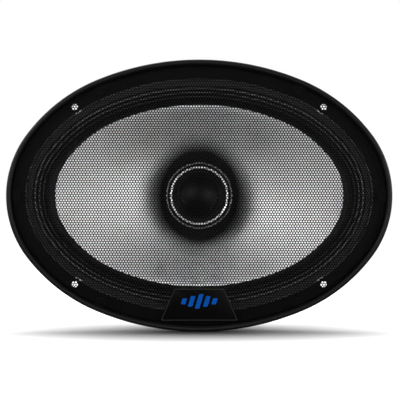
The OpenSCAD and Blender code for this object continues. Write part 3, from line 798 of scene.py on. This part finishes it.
def perforated(name, cells):
    """Sheet of hexagonal cells, each with a round punched hole, closed at its edges."""
    corner = PITCH / math.sqrt(3)
    steps = [math.radians(30 * k) for k in range(HOLE_SIDES)]
    reaches = [corner if k % 2 else PITCH / 2 for k in range(HOLE_SIDES)]
    outer = [(r * math.cos(a), r * math.sin(a)) for r, a in zip(reaches, steps)]
    inner = [(PUNCH_R * math.cos(a), PUNCH_R * math.sin(a)) for a in steps]
    points, index, front = [], {}, []

    def number(x, y):
        key = (round(x * 100), round(y * 100))
        if key not in index:
            index[key] = len(points)
            points.append((x, y))
        return index[key]

    for cx, cy in cells:
        rim = [number(cx + x, cy + y) for x, y in outer]
        hole = [number(cx + x, cy + y) for x, y in inner]
        for k in range(HOLE_SIDES):
            l = (k + 1) % HOLE_SIDES
            front.append((rim[k], rim[l], hole[l], hole[k]))
    count = len(points)
    used = dict.fromkeys((face[k], face[(k + 1) % 4]) for face in front for k in range(4))
    walls = [(b, a, a + count, b + count) for a, b in used if (b, a) not in used]
    heights = [crown(x, y) for x, y in points]
    vertices = [place(x, y, z) for (x, y), z in zip(points, heights)]
    vertices += [place(x, y, z - SHEET_T) for (x, y), z in zip(points, heights)]
    back = [tuple(v + count for v in reversed(face)) for face in front]
    mesh = bpy.data.meshes.new(name)
    mesh.from_pydata(vertices, [], front + back + walls)
    mesh.shade_smooth()
    mesh.set_sharp_from_angle(angle=math.radians(35))
    return add(name, mesh)


def grille_cells():
    row_gap = PITCH * math.sqrt(3) / 2
    rows = int(HALF_H / row_gap) + 1
    columns = int(HALF_W / PITCH) + 1
    for row in range(-rows, rows + 1):
        shift = PITCH / 2 if row % 2 else 0
        for column in range(-columns - 1, columns + 1):
            x, y = column * PITCH + shift, row * row_gap
            if oval_offset(x, y) >= MESH_START:
                yield x, y


cells = list(grille_cells())
share = math.ceil(len(cells) / MESH_PIECES)
for i in range(MESH_PIECES):
    sheet = perforated(f"grille_mesh_{i + 1}", cells[i * share:(i + 1) * share])
    dress(sheet, "grille_mesh", "black_painted_steel", MESH_COAT, "grille")

hem = sweep("grille_mesh_hem", tube(MESH_START - 0.1, 2.5, MESH_EDGE - 0.75, MESH_EDGE - 0.05, 0.1))
dress(hem, "grille_mesh", "black_painted_steel", MESH_COAT, "grille")

rim = sweep("grille_rim_ring", rounded([
    (0.35, RIM_BACK), (0, RIM_BACK + 1.2), (0, RIM_FRONT - 1.6), (0.45, RIM_FRONT - 0.45),
    (1.4, RIM_FRONT), (2.5, RIM_FRONT - 0.1), (RIM_W, RIM_FRONT - 0.8), (RIM_W, MESH_EDGE + 0.1),
    (2.2, MESH_EDGE + 0.1), (2.2, RIM_BACK)], 0.35))


def peg_places():
    """The grille's six pegs, on the outline's own directions."""
    for s in (-1, 1):
        yield s * (HALF_W - 5.2), 0
    for sx in (-1, 1):
        for sy in (-1, 1):
            reach = SIDE_R - 5.2
            yield sx * reach * 5 / 13, sy * (SIDE_C[1] + reach * 12 / 13)


PEGS = list(peg_places())
carve(rim, discs("lug", PEGS, 3.6, MESH_EDGE - 2.3, MESH_EDGE - 0.9), "UNION")
carve(rim, discs("peg", PEGS, 1.2, 3, MESH_EDGE - 1.5, 24), "UNION")
tidy(rim)
dress(rim, "grille_rim", "black_plastic", RIM_PLASTIC, "grille")

# Badge: a trapezoid tilted to lie on the crown, with its edge line and five slanted bars
BADGE_TOP, BADGE_LOW = (16.2, -60.9), (25.4, -82)
BADGE_Z = 14.1
BADGE_TILT = math.radians(4)
BADGE_T = 1.6


def badge_outline(inset):
    lean = (BADGE_LOW[0] - BADGE_TOP[0]) / (BADGE_TOP[1] - BADGE_LOW[1]) * inset
    top = BADGE_TOP[0] - inset + lean
    low = BADGE_LOW[0] - inset - lean
    return [(-low, BADGE_LOW[1] + inset), (low, BADGE_LOW[1] + inset),
            (top, BADGE_TOP[1] - inset), (-top, BADGE_TOP[1] - inset)]


def on_badge(x, y, z):
    """Tilts a point about the badge's top edge."""
    drop = y - BADGE_TOP[1]
    return (
        x,
        BADGE_TOP[1] + drop * math.cos(BADGE_TILT) - z * math.sin(BADGE_TILT),
        BADGE_Z + drop * math.sin(BADGE_TILT) + z * math.cos(BADGE_TILT),
    )


def badge_block(name, outline, z0, z1, corner=0.3):
    """Block on the badge with rounded corners and a softened front edge."""
    soft = min(0.2, (z1 - z0) / 2)
    rings = []
    for inset, z in ((0, z0), (0, z1 - soft), (soft * 0.3, z1 - soft * 0.3), (soft, z1)):
        ring = outline(inset) if callable(outline) else outline
        rings.append([on_badge(x, y, z) for x, y in rounded(ring, corner, 4)])
    return skin(name, rings, looped=False)


dress(badge_block("badge_plate_body", badge_outline, 0, BADGE_T, 0.8),
      "badge_plate", "black_plastic", BADGE_GLOSS, "grille")

border = skin("badge_border_line", [
    [on_badge(x, y, z) for x, y in rounded(badge_outline(inset), 0.8, 4)]
    for inset, z in corners(0.15, BADGE_T - 0.05, 0.6, BADGE_T + 0.2)])
dress(border, "badge_border", "grey_border", BORDER_GREY, "grille")

BAR_HEIGHTS = (4, 7, 9.6, 7, 4)
BAR_PITCH, BAR_W, BAR_SLANT = 5, 3, 0.3
BAR_Y = (BADGE_TOP[1] + BADGE_LOW[1]) / 2 + 2.2
bars = []
for i, tall in enumerate(BAR_HEIGHTS):
    x, h, lean = (i - 2) * BAR_PITCH, tall / 2, BAR_SLANT * tall / 2
    outline = [(u + lean * (1 if v > BAR_Y else -1), v)
               for u, v in corners(x - BAR_W / 2, BAR_Y - h, x + BAR_W / 2, BAR_Y + h)]
    bars.append(badge_block(f"bar_{i}", outline, BADGE_T - 0.05, BADGE_T + 0.28, 0.35))
dress(merge("badge_emblem_bars", bars), "badge_emblem", "blue_emblem", EMBLEM_BLUE, "grille")

# -------- base ring, gasket, surround, cone

base_ring = sweep("grille_base_ring_body", rounded([
    (1.2, 0.2), (1.2, 2.8), (BASE_IN - 1.2, 2.8), (BASE_IN - 0.8, 4), (BASE_IN, 4),
    (BASE_IN, 1.2), (3.9, 1.2), (3.9, 0.2)], 0.3))
MOUNTS = [(sx * HOLE_X, sy * HOLE_Y) for sx in (-1, 1) for sy in (-1, 1)]
carve(base_ring, discs("boss", PEGS, 2.6, 2, 8.2) + discs("pad", MOUNTS, 4.4, 2, 3.6), "UNION")
carve(base_ring, discs("drill", MOUNTS, HOLE_R, 0, 6) + discs("socket", PEGS, 1.5, 2, 10, 32))
soften(base_ring, 0.2)
dress(base_ring, "grille_base_ring", "black_plastic", BASE_PLASTIC)
# The lip that stands up inside the ring, painted lighter as a painted highlight, and the painted glints
# beside the mounting holes
LIP_Z, LIP_OFF, GLINT_REACH = 3.2, 12.1, 5.1


def on_lip(x, y, z):
    return z > LIP_Z and oval_offset(x, y) > LIP_OFF


# Painted highlight along the lip, then painted glints beside the mounting holes
paint_faces(base_ring, BASE_LIP_HIGHLIGHT, on_lip)
paint_faces(base_ring, BASE_GLINT, lambda x, y, z: on_lip(x, y, z) and min(
    math.hypot(x - p[0], y - p[1]) for p in MOUNTS) < GLINT_REACH)

dress(sweep("surround_gasket_foam", rounded(corners(LAND_OUT, 1.8, 17, 3.4), 0.5, 4)),
      "surround_gasket", "black_foam", FOAM)

PLEAT_OUT, PLEAT_STEP, PLEATS, HALF_CLOTH = 17.3, 2.7, 4, 0.22


def pleat_line(lift):
    """Middle line of the surround from its outer land to the land on the cone."""
    line = [(LAND_OUT, 1.5 + lift), (PLEAT_OUT - 0.5, 1.5 + lift)]
    steps = 14 * PLEATS
    for i in range(steps + 1):
        t = i / steps * PLEATS
        wave = 0.5 - 0.5 * math.cos(2 * math.pi * t)
        line.append((PLEAT_OUT + t * PLEAT_STEP, 1.5 - 0.3 * t + 1.7 * wave ** 0.8 + lift))
    line += [(CONE_RIM_OUT + 0.4, 0.28 + lift), (CONE_RIM_IN, 0.26 + lift)]
    return line


def land_edge(z):
    """Inner edge of the land on the cone: further in at the oval's ends than at its sides."""
    return [(*oval_point(a, 29.3 + 2.3 * math.cos(math.radians(a)) ** 2), z) for a in WAYS]


front, back = pleat_line(HALF_CLOTH), pleat_line(-HALF_CLOTH)
rings = [oval_ring(d, z) for d, z in front[:-1]] + [land_edge(front[-1][1]), land_edge(back[-1][1])]
surround = skin("surround_roll", rings + [oval_ring(d, z) for d, z in back[-2::-1]], sharp=60)
dress(surround, "surround", "black_rubberised_cloth", PLEAT_CLOTH, None)

flex(surround, lambda x, y, z: smooth_share(
    oval_offset(x, y), PLEAT_OUT, CONE_RIM_OUT))

CREASE_R, CREASE_Z, CONE_T = 38, -14, 0.78


def mix(one, two, t, z):
    return [((1 - t) * a[0] + t * b[0], (1 - t) * a[1] + t * b[1], z) for a, b in zip(one, two)]


def cone_rings():
    """Front of the cone: oval at its rim, round at the crease and the neck."""
    rim_ring, crease_ring = oval_ring(CONE_RIM_IN, 0), round_ring(CREASE_R, 0)
    rings = [oval_ring(CONE_RIM_OUT, -0.2)]
    for i in range(25):
        t = i / 24
        drop = (-CREASE_Z - 0.2) * (0.82 * t + 0.18 * t * t)
        rings.append(mix(rim_ring, crease_ring, t, -0.2 - drop))
    neck_z = CONE_BACK + 0.8
    for i in range(1, 13):
        t = i / 12
        bulge = 0.6 * math.sin(math.pi * t)
        radius = CREASE_R + (FORMER_R + 0.1 - CREASE_R) * t
        rings.append(round_ring(radius, CREASE_Z + (neck_z - CREASE_Z) * t + bulge))
    return rings


front = cone_rings()
back = [[(x, y, z - CONE_T) for x, y, z in ring] for ring in reversed(front)]
dress(skin("cone_sheet", front + back), "cone", "silver_glass_fibre", SILVER_CONE, "cone_assembly")

# -------- motor behind the cone

turned_tube("former_tube", (FORMER_R, FORMER_R - 0.3, -52, -24, 0.05),
            "voice_coil_former", "brown_former", KAPTON, "cone_assembly")
turned_tube("coil_turns", (COIL_R, FORMER_R, -52, -41, 0.2),
            "voice_coil_winding", "copper_wire", WINDING, "cone_assembly")
collar = lathe("neck_glue", rounded([
    (FORMER_R, -26.6), (FORMER_R, -24.6), (FORMER_R + 0.6, -24.6), (FORMER_R + 3.4, -24.1)], 0.2))
dress(collar, "neck_collar", "black_adhesive", GLUE, "cone_assembly")

magnet = lathe("magnet_ring", rounded(corners(20, MAGNET_BACK, MAGNET_R, MAGNET_FRONT), 1.0, 5))
dress(magnet, "ferrite_magnet", "ferrite", FERRITE)
turned_tube("front_plate", (MAGNET_R - 1.5, 16.2, MAGNET_FRONT, BASKET_BACK, 0.5),
            "top_plate", "zinc_plated_steel", ZINC)
yoke = lathe("yoke_forging", rounded([
    (POST_R + 0.1, YOKE_BACK, 0.2), (12, YOKE_BACK, 0.1), (13, YOKE_BACK + 0.6, 0.1),
    (27, YOKE_BACK + 0.6, 0.1), (28, YOKE_BACK, 0.1), (MAGNET_R - 3.5, YOKE_BACK, 1.5),
    (MAGNET_R - 2, YOKE_BACK + 1.5, 1), (MAGNET_R - 2, MAGNET_BACK, 0.2),
    (13.7, MAGNET_BACK, 0.5), (13.7, BASKET_BACK, 0.4),
    (12.7, BASKET_BACK + 1, 0.3), (POST_R + 0.1, BASKET_BACK + 1, 0.2)], 0.3))
dress(yoke, "yoke", "zinc_plated_steel", TURNED_ZINC)

# -------- tweeter

cup = lathe("tweeter_cup", rounded([
    (3, POST_FRONT), (12, POST_FRONT), (20.4, -2), (20.4, 4.8), (18.9, 4.8), (18.9, -1.4),
    (11.4, POST_FRONT + 1.5), (3, POST_FRONT + 1.5)], 0.6))
dress(cup, "tweeter_housing", "black_plastic", BLACK_PLASTIC)
turned_tube("tweeter_face", (18.8, 13.6, 2.1, 3.3, 0.2),
            "tweeter_face_plate", "black_plastic", BEZEL_PLASTIC)
ring = lathe("bright_trim", rounded([
    (17.2, 3.3, 0.1), (18.8, 3.3, 0.1), (18.8, 4.9, 0.1), (19.2, 4.9, 0.1),
    (19.2, BEZEL_FRONT - 0.3, 0.2), (18.9, BEZEL_FRONT, 0.3), (18, BEZEL_FRONT, 0.4),
    (17.2, 4.4, 0.3)], 0.2, 5), 192)
dress(ring, "tweeter_trim_ring", "polished_aluminium", RING_WALL)
RING_EDGE_R = 17.85
# Painted highlight: the ring's front face gets the near-white copy of its metal
paint_faces(ring, BRIGHT_RING_HIGHLIGHT, lambda x, y, z: (
    math.hypot(x, y) > RING_EDGE_R and z > BEZEL_FRONT - 0.6))
bezel = lathe("bezel_ring", rounded([
    (19.4, 4.9), (BEZEL_R, 4.9), (BEZEL_R, BEZEL_FRONT - 0.4, 0.3), (BEZEL_R - 0.4, BEZEL_FRONT, 0.25),
    (BEZEL_R - 0.9, BEZEL_FRONT, 0.2), (BEZEL_R - 1.2, BEZEL_FRONT - 1, 0.3),
    (19.4, BEZEL_FRONT - 2, 0.2)], 0.2), 192)
dress(bezel, "tweeter_bezel", "black_plastic", BEZEL_PLASTIC)
# Painted highlight along the bezel's outer top edge
paint_faces(bezel, BEZEL_LIP_HIGHLIGHT, lambda x, y, z: (
    math.hypot(x, y) > BEZEL_R - 1 and z > BEZEL_FRONT - 0.5))

DOME_Z, DOME_H = 3.7, 4
ball = (DOME_R ** 2 + DOME_H ** 2) / (2 * DOME_H)


def cap_line(radius, steps=20):
    """Arc of the dome from its rim to the axis."""
    half = math.asin(DOME_R / ball)
    for i in range(steps + 1):
        a = half * (1 - i / steps) + 0.002
        yield radius * math.sin(a), DOME_Z + DOME_H - ball + radius * math.cos(a)


dome = lathe("dome_cap", list(cap_line(ball)) + list(cap_line(ball - 0.3))[::-1], 96, 60)
dress(dome, "tweeter_dome", "black_silk", DOME_SILK, "tweeter_dome_assembly")

roll_line = [(DOME_R - 0.3, 3.5)]
roll_line += [(DOME_R + 0.2 + 1.85 * t / 12, 3.55 + math.sin(math.pi * t / 12)) for t in range(13)]
roll_line += [(DOME_R + 3.2, 3.55)]
roll = lathe("dome_roll", [(r, z + 0.12) for r, z in roll_line]
             + [(r, z - 0.12) for r, z in reversed(roll_line)], 96, 60)
dress(roll, "tweeter_surround", "black_rubberised_cloth", DOME_SILK, None)
flex(roll, lambda x, y, z: 1 - smooth_share(
    math.hypot(x, y), DOME_R + 0.2, DOME_R + 2.1))

turned_tube("post_tube", (POST_R, 3, POST_BACK, POST_FRONT, 0.2),
            "tweeter_post", "brass_plated", BRASS, turns=64)

CUP_FLOOR = POST_FRONT + 1.5
tw_yoke = lathe("tweeter_yoke_cup", rounded([
    (3.5, CUP_FLOOR), (11, CUP_FLOOR), (14.5, -4.8), (14.5, 2), (13, 2), (13, -5.5), (3.5, -5.5)], 0.3))
dress(tw_yoke, "tweeter_yoke", "zinc_plated_steel", ZINC)
turned_tube("tweeter_neodymium", (10.5, 3.5, -5.5, 0, 0.3),
            "tweeter_magnet", "neodymium_nickel", NICKEL)
turned_tube("tweeter_front_plate", (11.4, 3.5, 0, 2, 0.2),
            "tweeter_pole_plate", "zinc_plated_steel", ZINC)
turned_tube("tweeter_former_tube", (12.05, 11.9, -1, 3.4, 0.03),
            "tweeter_former", "brown_former", KAPTON, "tweeter_dome_assembly")
turned_tube("tweeter_coil_turns", (12.45, 12.05, -0.6, 2.2, 0.1),
            "tweeter_coil", "copper_wire", WINDING, "tweeter_dome_assembly")

# -------- basket

FLANGE_OUT, WALL_OFF, SHELF_IN, STEEL = 4.2, 16.4, 25, 1.2
SHELF_Z, SEAT_Z, BOWL_Z = -14, -32, BASKET_BACK
BOWL_R, SEAT_R, ARM_W = 54, 45.5, 18
ARMS = [(0, 108), (180, 108), (55, 77), (125, 77), (-55, 77), (-125, 77)]
WINDOWS = (27, 90, 153, 207, 333)
SCREW_R = 34
SCREWS = [(SCREW_R * math.cos(a), SCREW_R * math.sin(a))
          for a in (math.radians(45 + 90 * i) for i in range(4))]
TERM_X, TERM_Y = 8, -58.5
RIVETS = [(-TERM_X, TERM_Y), (TERM_X, TERM_Y)]
TAB_BACK = -37.2

basket = sweep("basket_pressing", rounded([
    (FLANGE_OUT, 0, 0.3), (FLANGE_OUT, STEEL, 0.3), (WALL_OFF + STEEL, STEEL, 1.6),
    (WALL_OFF + STEEL, SHELF_Z + STEEL, 1.2), (SHELF_IN, SHELF_Z + STEEL, 0.3),
    (SHELF_IN, SHELF_Z, 0.3), (WALL_OFF, SHELF_Z, 2.2), (WALL_OFF, 0, 0.8)], 0.3, 5))
bowl = lathe("basket_bowl", rounded([
    (19.5, BOWL_Z, 0.3), (BOWL_R, BOWL_Z, 2.6), (BOWL_R, SEAT_Z + STEEL, 0.5),
    (SEAT_R, SEAT_Z + STEEL, 0.3), (SEAT_R, SEAT_Z, 0.3), (BOWL_R - STEEL, SEAT_Z, 0.5),
    (BOWL_R - STEEL, BOWL_Z + STEEL, 1.6),
    (19.5, BOWL_Z + STEEL, 0.3)], 0.3, 5), 160)


def arm(index, angle, reach):
    """Pressed channel from the shelf down to the bowl: a plate with a web down each edge."""
    top = [(reach, SHELF_Z + STEEL - 0.2), (reach, SHELF_Z - 0.6), (BOWL_R - 1, SEAT_Z - 3),
           (BOWL_R - 1, SEAT_Z - 1)]
    web = [(reach, SHELF_Z + 0.5), (reach, SHELF_Z - 2.4), (BOWL_R + 2.4, SEAT_Z - 10),
           (BOWL_R - 1, SEAT_Z - 10), (BOWL_R - 1, SEAT_Z - 2)]
    half = ARM_W / 2
    parts = [slab(f"arm_{index}_plate", top, -half, half)]
    parts += [slab(f"arm_{index}_web_{s}", web, s * (half - 0.75) - 0.75, s * (half - 0.75) + 0.75)
              for s in (-1, 1)]
    return [spin(part, angle) for part in parts]


for i, (angle, reach) in enumerate(ARMS):
    carve(basket, arm(i, angle, reach), "UNION")
carve(basket, [bowl], "UNION")
tab = prism("terminal_tab", rounded(corners(-14, -66, 14, -50), 2, 5), TAB_BACK, TAB_BACK + STEEL)
carve(tab, [disc("tab_trim", (0, 0), BOWL_R - 0.6, -40, -30, 128)])
carve(basket, [tab], "UNION")
cuts = discs("bolt_hole", MOUNTS, HOLE_R, -3, 4)
cuts += discs("screw_hole", SCREWS, 2, BOWL_Z - 1, BOWL_Z + 3, 32)
cuts += discs("rivet_hole", RIVETS, 1.4, -40, -33, 32)
window = rounded(corners(-12, BOWL_Z + 3, 12, BOWL_Z + 10), 2.5, 5)
for angle in WINDOWS:
    cuts.append(spin(slab(f"window_{angle}", window, BOWL_R - 6, BOWL_R + 6), angle - 90))
carve(basket, cuts)
soften(basket, 0.35)
dress(basket, "basket", "black_painted_steel", BLACK_COAT)

screws = []
head = BOWL_Z + STEEL
for i, (x, y) in enumerate(SCREWS):
    screw = lathe(f"screw_{i}", rounded([
        (0.01, head - 5.6, 0), (1.9, head - 5.6, 0.2), (1.9, head, 0), (3.6, head, 0.1),
        (3.6, head + 0.9, 0.9), (2, head + 2, 1), (0.01, head + 2, 0)], 0.2), 40, at=(x, y))
    for w, h in ((2, 0.4), (0.4, 2)):
        carve(screw, [prism("slot", corners(x - w, y - h, x + w, y + h), head + 1, head + 3)])
    screws.append(screw)
dress(merge("basket_screw_set", screws), "basket_screws", "zinc_plated_steel", ZINC)


def spider_line(lift):
    line = [(FORMER_R + 0.1, 2.2 + lift), (FORMER_R + 0.4, 1.0 + lift), (FORMER_R + 1.6, 0.3 + lift)]
    steps = 60
    for i in range(steps + 1):
        t = i / steps * 5
        line.append((FORMER_R + 3 + 6 * t, 0.8 - 0.8 * math.cos(2 * math.pi * t) + lift))
    return line + [(BOWL_R - 1, 0.05 + lift)]


spider_z = SEAT_Z + STEEL
spider = lathe("spider_disc", [
    (r, z + spider_z) for r, z in spider_line(0.42) + spider_line(0.05)[::-1]], 144, 60)
dress(spider, "spider", "amber_cloth", SPIDER_CLOTH, None)
flex(spider, lambda x, y, z: 1 - smooth_share(
    math.hypot(x, y), FORMER_R + 2, BOWL_R - 6))

# -------- terminals, capacitor and leads

BLOCK_T, BLADE_T = 2.5, 0.8
BLOCK_BACK = TAB_BACK - BLOCK_T
BLADE_BACK = BLOCK_BACK - BLADE_T
block = prism("terminal_board_body", rounded(corners(-14, -65, 14, -56.4), 0.8, 4),
              BLOCK_BACK, TAB_BACK)
barrier = prism("terminal_barrier", rounded(corners(-0.8, -65, 0.8, -56.4), 0.3, 3),
                BLOCK_BACK - 4, BLOCK_BACK + 1)
carve(block, [barrier], "UNION")
carve(block, discs("board_hole", RIVETS, 1.4, -45, -30, 32))
soften(block, 0.25)
dress(block, "terminal_block", "black_plastic", BOARD)


def blade(name, x, w):
    """Flat tab terminal, tapered at its tip, with its locking hole."""
    low, high, tip = -71.8, TERM_Y + 2.4, 1.2
    left, right = x - w / 2, x + w / 2
    outline = rounded([(left, high), (left, low + tip), (left + tip, low), (right - tip, low),
                       (right, low + tip), (right, high)], 0.3)
    piece = prism(name, outline, BLADE_BACK, BLOCK_BACK)
    carve(piece, [disc(name + "_rivet", (x, TERM_Y), 1.4, -50, -30, 32),
                  disc(name + "_lock", (x, -68.5), 0.9, -50, -30, 32)])
    return soften(piece, 0.12)


dress(blade("blade_positive", -TERM_X, 6.3), "terminal_positive", "brass_plated", BRASS)
dress(blade("blade_negative", TERM_X, 4.8), "terminal_negative", "tinned_metal", TIN)
low, high = BLADE_BACK - 0.8, TAB_BACK + STEEL + 0.8
rivets = [lathe("rivet", rounded([
    (0.3, low, 0), (1.2, low, 0.3), (2.2, low + 0.5, 0.4), (2.2, low + 0.8, 0.1),
    (1.3, low + 0.8, 0), (1.3, high - 0.8, 0), (2.2, high - 0.8, 0.1), (2.2, high - 0.5, 0.4),
    (1.2, high, 0.3), (0.3, high, 0), (0.3, high - 0.5, 0), (0.3, low + 0.5, 0)], 0.1),
    40, at=at) for at in RIVETS]
dress(merge("terminal_rivet_set", rivets), "terminal_rivets", "tinned_metal", TIN)

eyelets = [lathe(f"eyelet_{s}", rounded([
    (0.5, -20.6, 0.1), (1.6, -20.6, 0.3), (1.6, -19.2, 0.3), (0.5, -19.2, 0.1)], 0.2), 40,
    at=(s * (TERM_X + 2), -31.5)) for s in (-1, 1)]
dress(merge("lead_eyelet_set", eyelets), "lead_eyelets", "tinned_metal", TIN, "cone_assembly")

TINSEL = [(TERM_X, TERM_Y, -35), (TERM_X + 1, -58, -32), (TERM_X + 2, -56, -28),
          (TERM_X + 3, -52, -25), (TERM_X + 3, -46, -23.5), (TERM_X + 3, -40, -23.5),
          (TERM_X + 2, -35, -23), (TERM_X + 2, -31.5, -21.3)]
for s, word in ((-1, "positive"), (1, "negative")):
    lead = cord(f"braided_lead_{word}", [(s * x, y, z) for x, y, z in TINSEL], 0.66)
    dress(lead, f"tinsel_lead_{word}", "copper_braid", BRAID, None)
    flex(lead, lambda x, y, z: smooth_share(y, -57, -33))

CAP_R, CAP_L, CAP_Y, CAP_Z = 6, 22, -53.5, -51.5
can = barrel("capacitor_can", rounded([
    (0.01, -CAP_L / 2, 0), (CAP_R - 0.5, -CAP_L / 2, 0.2), (CAP_R, -CAP_L / 2 + 0.5, 0.3),
    (CAP_R, CAP_L / 2 - 3.2, 0.3), (CAP_R - 0.5, CAP_L / 2 - 2.7, 0.3), (CAP_R - 0.5, CAP_L / 2 - 2.2, 0.3),
    (CAP_R, CAP_L / 2 - 1.7, 0.3), (CAP_R, CAP_L / 2 - 0.5, 0.3), (CAP_R - 0.5, CAP_L / 2, 0.2),
    (CAP_R - 1, CAP_L / 2, 0.1), (CAP_R - 1.2, CAP_L / 2 - 0.3, 0.1), (0.01, CAP_L / 2 - 0.3, 0)], 0.2),
    (0, CAP_Y, CAP_Z))
dress(can, "capacitor", "blue_sleeve", SLEEVE_BLUE)
saddle = prism("capacitor_saddle_block", rounded(corners(-6, -52, 6, -44.4), 0.8, 4),
               CAP_Z - 5, CAP_Z + 5)
carve(saddle, [barrel("saddle_cut", tube(CAP_R + 0.1, 0.01, -15, 15, 0), (0, CAP_Y, CAP_Z)),
               disc("saddle_seat", (0, 0), MAGNET_R + 0.1, CAP_Z - 10, CAP_Z + 10, 160)])
soften(saddle, 0.25)
dress(saddle, "capacitor_saddle", "black_plastic", BLACK_PLASTIC)

RIVET_BACK = BLADE_BACK - 0.8
lead = cord("capacitor_lead_wire", [
    (-CAP_L / 2 - 0.1, CAP_Y, CAP_Z), (-13, -53.5, -51), (-14.5, -54, -49), (-14.5, -55.5, -46),
    (-13, -57, -43.5), (-10.5, -58, -42.5), (-TERM_X - 0.2, TERM_Y + 0.1, RIVET_BACK - 0.5)], 0.38)
dress(lead, "capacitor_lead", "tinned_metal", TIN)
lead = cord("tweeter_wire_positive", [
    (-1.2, 0, -9), (-1.2, 0, -40), (-1.2, 0, -72), (-0.8, -0.8, -75.7), (0.4, -3, -77.2), (2.6, -8, -76.8),
    (5.4, -13.5, -74), (8.2, -21, -72.9), (10.8, -30.5, -72.8), (13, -40, -73), (14, -45, -71.5),
    (14.4, -47.2, -67), (14.6, -48, -60), (15.2, -50, -55), (14.6, -52.6, -52.2), (13, -53.5, -51.6),
    (CAP_L / 2 + 0.1, CAP_Y, CAP_Z)], 0.58)
dress(lead, "tweeter_lead_positive", "red_insulation", RED_PVC)
lead = cord("tweeter_wire_negative", [
    (1.2, 0, -9), (1.2, 0, -40), (1.2, 0, -72), (1.6, -0.8, -75.5), (2.8, -3, -77.2), (4.9, -7, -76.8),
    (7.6, -12, -74), (10.6, -20, -72.9), (13, -30, -72.8), (15.4, -40, -73), (16.4, -44.6, -71.5),
    (17, -46.8, -67), (17.6, -47.6, -58), (18, -50, -50), (16.5, -54, -45), (13, -57, -43),
    (TERM_X + 0.3, TERM_Y + 0.1, RIVET_BACK - 0.7)], 0.58)
dress(lead, "tweeter_lead_negative", "black_insulation", BLACK_PVC)

nut = prism("post_nut_hexagon", rounded(circle(7.5, 6), 0.3), YOKE_BACK - 3, YOKE_BACK)
carve(nut, [lathe("nut_chamfer", [
    (0.01, YOKE_BACK - 3), (6.5, YOKE_BACK - 3), (7.6, YOKE_BACK - 2.3), (8, YOKE_BACK),
    (8, YOKE_BACK + 1), (0.01, YOKE_BACK + 1)])], "INTERSECT")
carve(nut, [disc("nut_bore", (0, 0), POST_R + 0.1, YOKE_BACK - 5, YOKE_BACK + 2)])
soften(nut, 0.15)
dress(nut, "post_nut", "zinc_plated_steel", ZINC)
